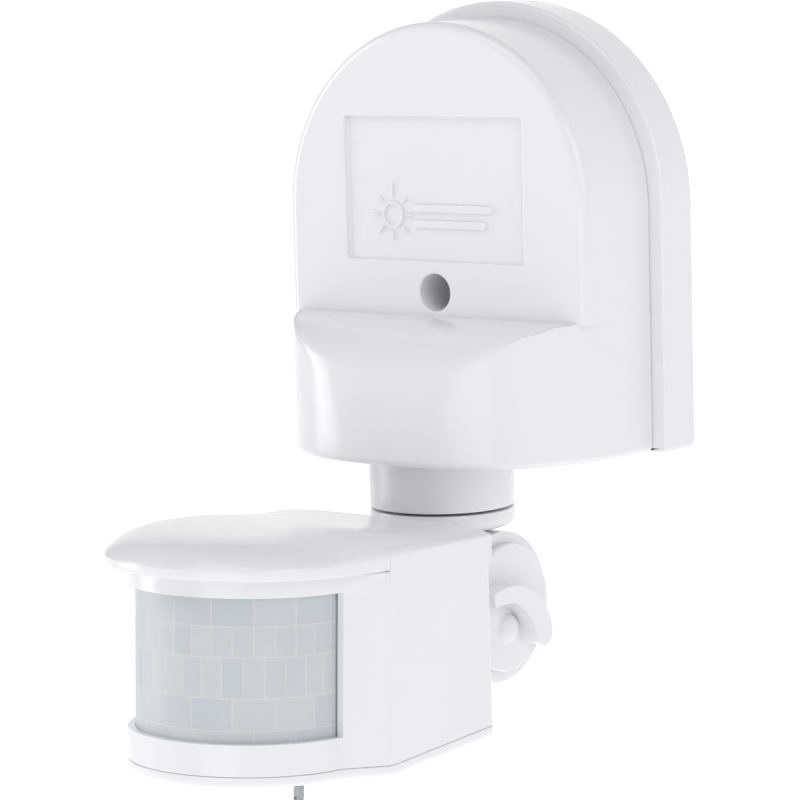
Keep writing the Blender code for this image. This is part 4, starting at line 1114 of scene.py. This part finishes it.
# ---- dials under the head
def make_dial(dial):
    """A small fluted trimmer cap with a driver slot, one of them with a peg that stands out of the head."""
    low, high = span(f"{dial}_knob", HEAD)
    x, y = dial_spot(dial)
    radius = high.x - x
    face = high.z - 1.9
    outline = []
    flutes = 20
    for k in range(flutes * 6):
        angle = 2 * math.pi * k / (flutes * 6)
        ripple = radius - 0.06 + 0.06 * math.cos(flutes * angle)
        outline.append((x + ripple * math.cos(angle), y + ripple * math.sin(angle)))
    cap = prism(f"{dial}_dial", outline, "Z", face, high.z, HEAD)
    across, along = 0.45, 1.9
    if low.z < face - 1.0:
        peg = rounded([(0.0, face + 0.3), (1.0, face + 0.3), (1.0, low.z), (0.0, low.z)], 0.25)
        add(cap, turned("peg", peg, "Z", (x, y), HEAD, 48))
        across, along = 0.3, 1.5
    tip = min(low.z, face)
    cut(cap, block("slot", (x - across, y - along, tip - 1.0), (x + across, y + along, tip + 0.9), HEAD))
    return soften(cap, 0.08, 2, 40.0)


for dial in DIALS:
    place_piece(make_dial(dial), f"{dial}_dial", smoke, "clear_plastic", f"{dial}_knob")


# ---- screws and cable entry
def make_screw(name, axis, centre, shank, head, tall, seat, tip, place):
    """A pan-head screw with a rounded head, cross recess and ridged shank.

    shank and head are radii, tall is the head's height; the screw runs from `seat`, under its head, to `tip`.
    """
    out = 1.0 if seat > tip else -1.0
    seat += out * GAP / 2
    profile = [(0, tip), (0.35 * shank, tip), (shank, tip + out * 0.9 * shank)]
    turns = int(abs(seat - tip) / 0.75) - 1
    start = tip + out * 0.9 * shank
    for k in range(turns):
        rise = (seat - out * 0.5 - start) * (k + 0.5) / turns
        profile += [(0.78 * shank, start + rise - out * 0.16), (shank, start + rise + out * 0.1)]
    profile += [(0.8 * shank, seat - out * 0.3), (0.8 * shank, seat)]
    profile += [(head, seat), (head, seat + out * 0.35 * tall)]
    for k in range(1, 8):
        angle = math.pi / 16 * k
        profile.append((head * math.cos(angle), seat + out * tall * (0.35 + 0.65 * math.sin(angle))))
    top = seat + out * tall
    screw = turned(name, [*profile, (0, top)], axis, centre, place, 64)
    cutters = []
    for wide, high in ((0.15 * head, 0.6 * head), (0.6 * head, 0.15 * head)):
        ends = sorted((top - out * 0.55 * tall, top + out))
        outline = [(-wide, -high), (wide, -high), (wide, high), (-wide, high)]
        outline = [(centre[0] + x, centre[1] + y) for x, y in outline]
        cutters.append(prism("recess", outline, axis, *ends, place))
    cut(screw, *cutters)
    return soften(screw, 0.07, 2, 50.0)


screw_tip = span("cover_screw")[1].y
cover_screw = make_screw("cover_fixing", "Y", (0, ACCESS_Z), 1.6, 3.3, 2.2, SEAT_Y, screw_tip, WORLD)
place_piece(cover_screw, "box", steel, "zinc_steel", "cover_screw")
for place, (x, y) in zip(("front_left", "front_right", "rear_left", "rear_right"), SCREW_SPOTS):
    seat = floor_at(y) + SCREW_SEAT
    screw = make_screw(f"floor_fixing_{place}", "Z", (x, y), 1.0, 2.0, 1.0, seat, seat + 6.0, HEAD)
    place_piece(screw, "head", steel, "zinc_steel", f"plate_screw_{place}")


def make_grommet():
    """A stepped rubber sleeve: a ring in the wall side, a neck through the plate and a flange inside."""
    low, high = span("cable_grommet")
    bore = 3.4
    skin = -PLATE_SKIN - GAP
    profile = [(bore, high.y), (bore + 0.5, high.y), (4.4, high.y - 0.3), (4.9, high.y - 0.3), (5.4, high.y)]
    profile += [(6.4, high.y), (6.7, high.y - 0.3), (6.7, skin), (8.5, skin), (8.8, skin - 0.3)]
    profile += [(8.8, skin - 1.1), (8.5, skin - 1.4), (6.2, skin - 1.4), (5.4, skin - 2.0)]
    profile += [(5.0, low.y + 0.3), (4.7, low.y), (bore + 0.3, low.y), (bore, low.y + 0.3)]
    return turned("cable_sleeve", profile, "Y", (0, ENTRY_Z))


place_piece(make_grommet(), "box", rubber, "seal_rubber", "cable_grommet")

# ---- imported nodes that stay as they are
NODE_LOOKS = {
    rubber: ("cover_seal",),
    cream: ("terminal_block", "filter_capacitor"),
    brass: ("terminal_screw_1", "terminal_screw_2", "terminal_screw_3", "clamp_nut"),
    steel: ("pan_clip", "clamp_bolt", "spring_washer", "pir_element", "storage_capacitor"),
    fibre: ("friction_disc_left", "friction_disc_right"),
    laminate: ("sensor_board", "power_board"),
    dark: ("relay", "light_cell", "time_trimmer", "lux_trimmer", "range_trimmer"),
    smoke: ("signal_lamp",),
    white_inner: ("post_nut",),
}
for look, names in NODE_LOOKS.items():
    for name in names:
        node = frame["nodes"][name]
        node.data.materials.clear()
        node.data.materials.append(look)


# ---- stage, light and camera
FLOOR_Z = -0.42  # the stage is in metres
SWEEP_HALF = 4.0
SWEEP_BEND = 0.8


def make_sweep():
    """A pale sweep: level under the object, curving up far behind it."""
    line = [(-3.0, 0.0)]
    for k in range(13):
        turn = math.pi / 24 * k
        line.append((1.6 + SWEEP_BEND * math.sin(turn), SWEEP_BEND * (1 - math.cos(turn))))
    line.append((1.6 + SWEEP_BEND, 3.0))
    points = []
    faces = []
    for y, z in line:
        points += [(-SWEEP_HALF, y, FLOOR_Z + z), (SWEEP_HALF, y, FLOOR_Z + z)]
    for k in range(len(line) - 1):
        faces.append((2 * k, 2 * k + 1, 2 * k + 3, 2 * k + 2))
    mesh = bpy.data.meshes.new("sweep")
    mesh.from_pydata(points, [], faces)
    mesh.shade_smooth()
    sweep = bpy.data.objects.new("sweep", mesh)
    bpy.context.scene.collection.objects.link(sweep)
    paper = surface("paper", (0.90, 0.90, 0.90), (0.92, 0.92, 0.92), (0.80, 0.90), 60.0, 3.0, depth=0.2)
    mesh.materials.append(paper)
    return paper


paper = make_sweep()
glow = paper.node_tree.nodes["Principled BSDF"]
glow.inputs["Emission Color"].default_value = (1.0, 1.0, 1.0, 1.0)
glow.inputs["Emission Strength"].default_value = 0.5


def area_light(name, place, aim, size, power):
    """A soft rectangular light turned towards `aim`."""
    light = bpy.data.lights.new(name, "AREA")
    light.shape = "RECTANGLE"
    light.size, light.size_y = size
    light.energy = power
    obj = bpy.data.objects.new(name, light)
    obj.location = place
    obj.rotation_euler = (Vector(aim) - Vector(place)).to_track_quat("-Z", "Y").to_euler()
    bpy.context.scene.collection.objects.link(obj)


AIM = (0.0, -0.05, -0.03)
area_light("key", (1.0, -0.5, 0.5), AIM, (0.7, 0.7), 3.2)
area_light("fill", (-1.1, -0.5, 0.2), AIM, (0.5, 0.9), 4.6)
area_light("top", (0.0, -0.6, 1.1), AIM, (0.9, 0.7), 3.4)
area_light("front", (0.3, -1.3, -0.15), AIM, (0.8, 0.5), 1.6)

world = bpy.data.worlds.new("studio")
bpy.context.scene.world = world
world.use_nodes = True
world.node_tree.nodes["Background"].inputs["Color"].default_value = (0.97, 0.98, 1.0, 1.0)
world.node_tree.nodes["Background"].inputs["Strength"].default_value = 0.43
bpy.context.scene.view_settings.view_transform = "Standard"

camera = bpy.data.objects.new("camera", bpy.data.cameras.new("camera"))
camera.data.lens = 162.08
camera.data.sensor_width = 36.0
camera.location = (0.44042607, -0.6084077, 0.05876944)
camera.rotation_euler = (1.4424, 0.0256, 0.6601)
bpy.context.scene.collection.objects.link(camera)
bpy.context.scene.camera = camera
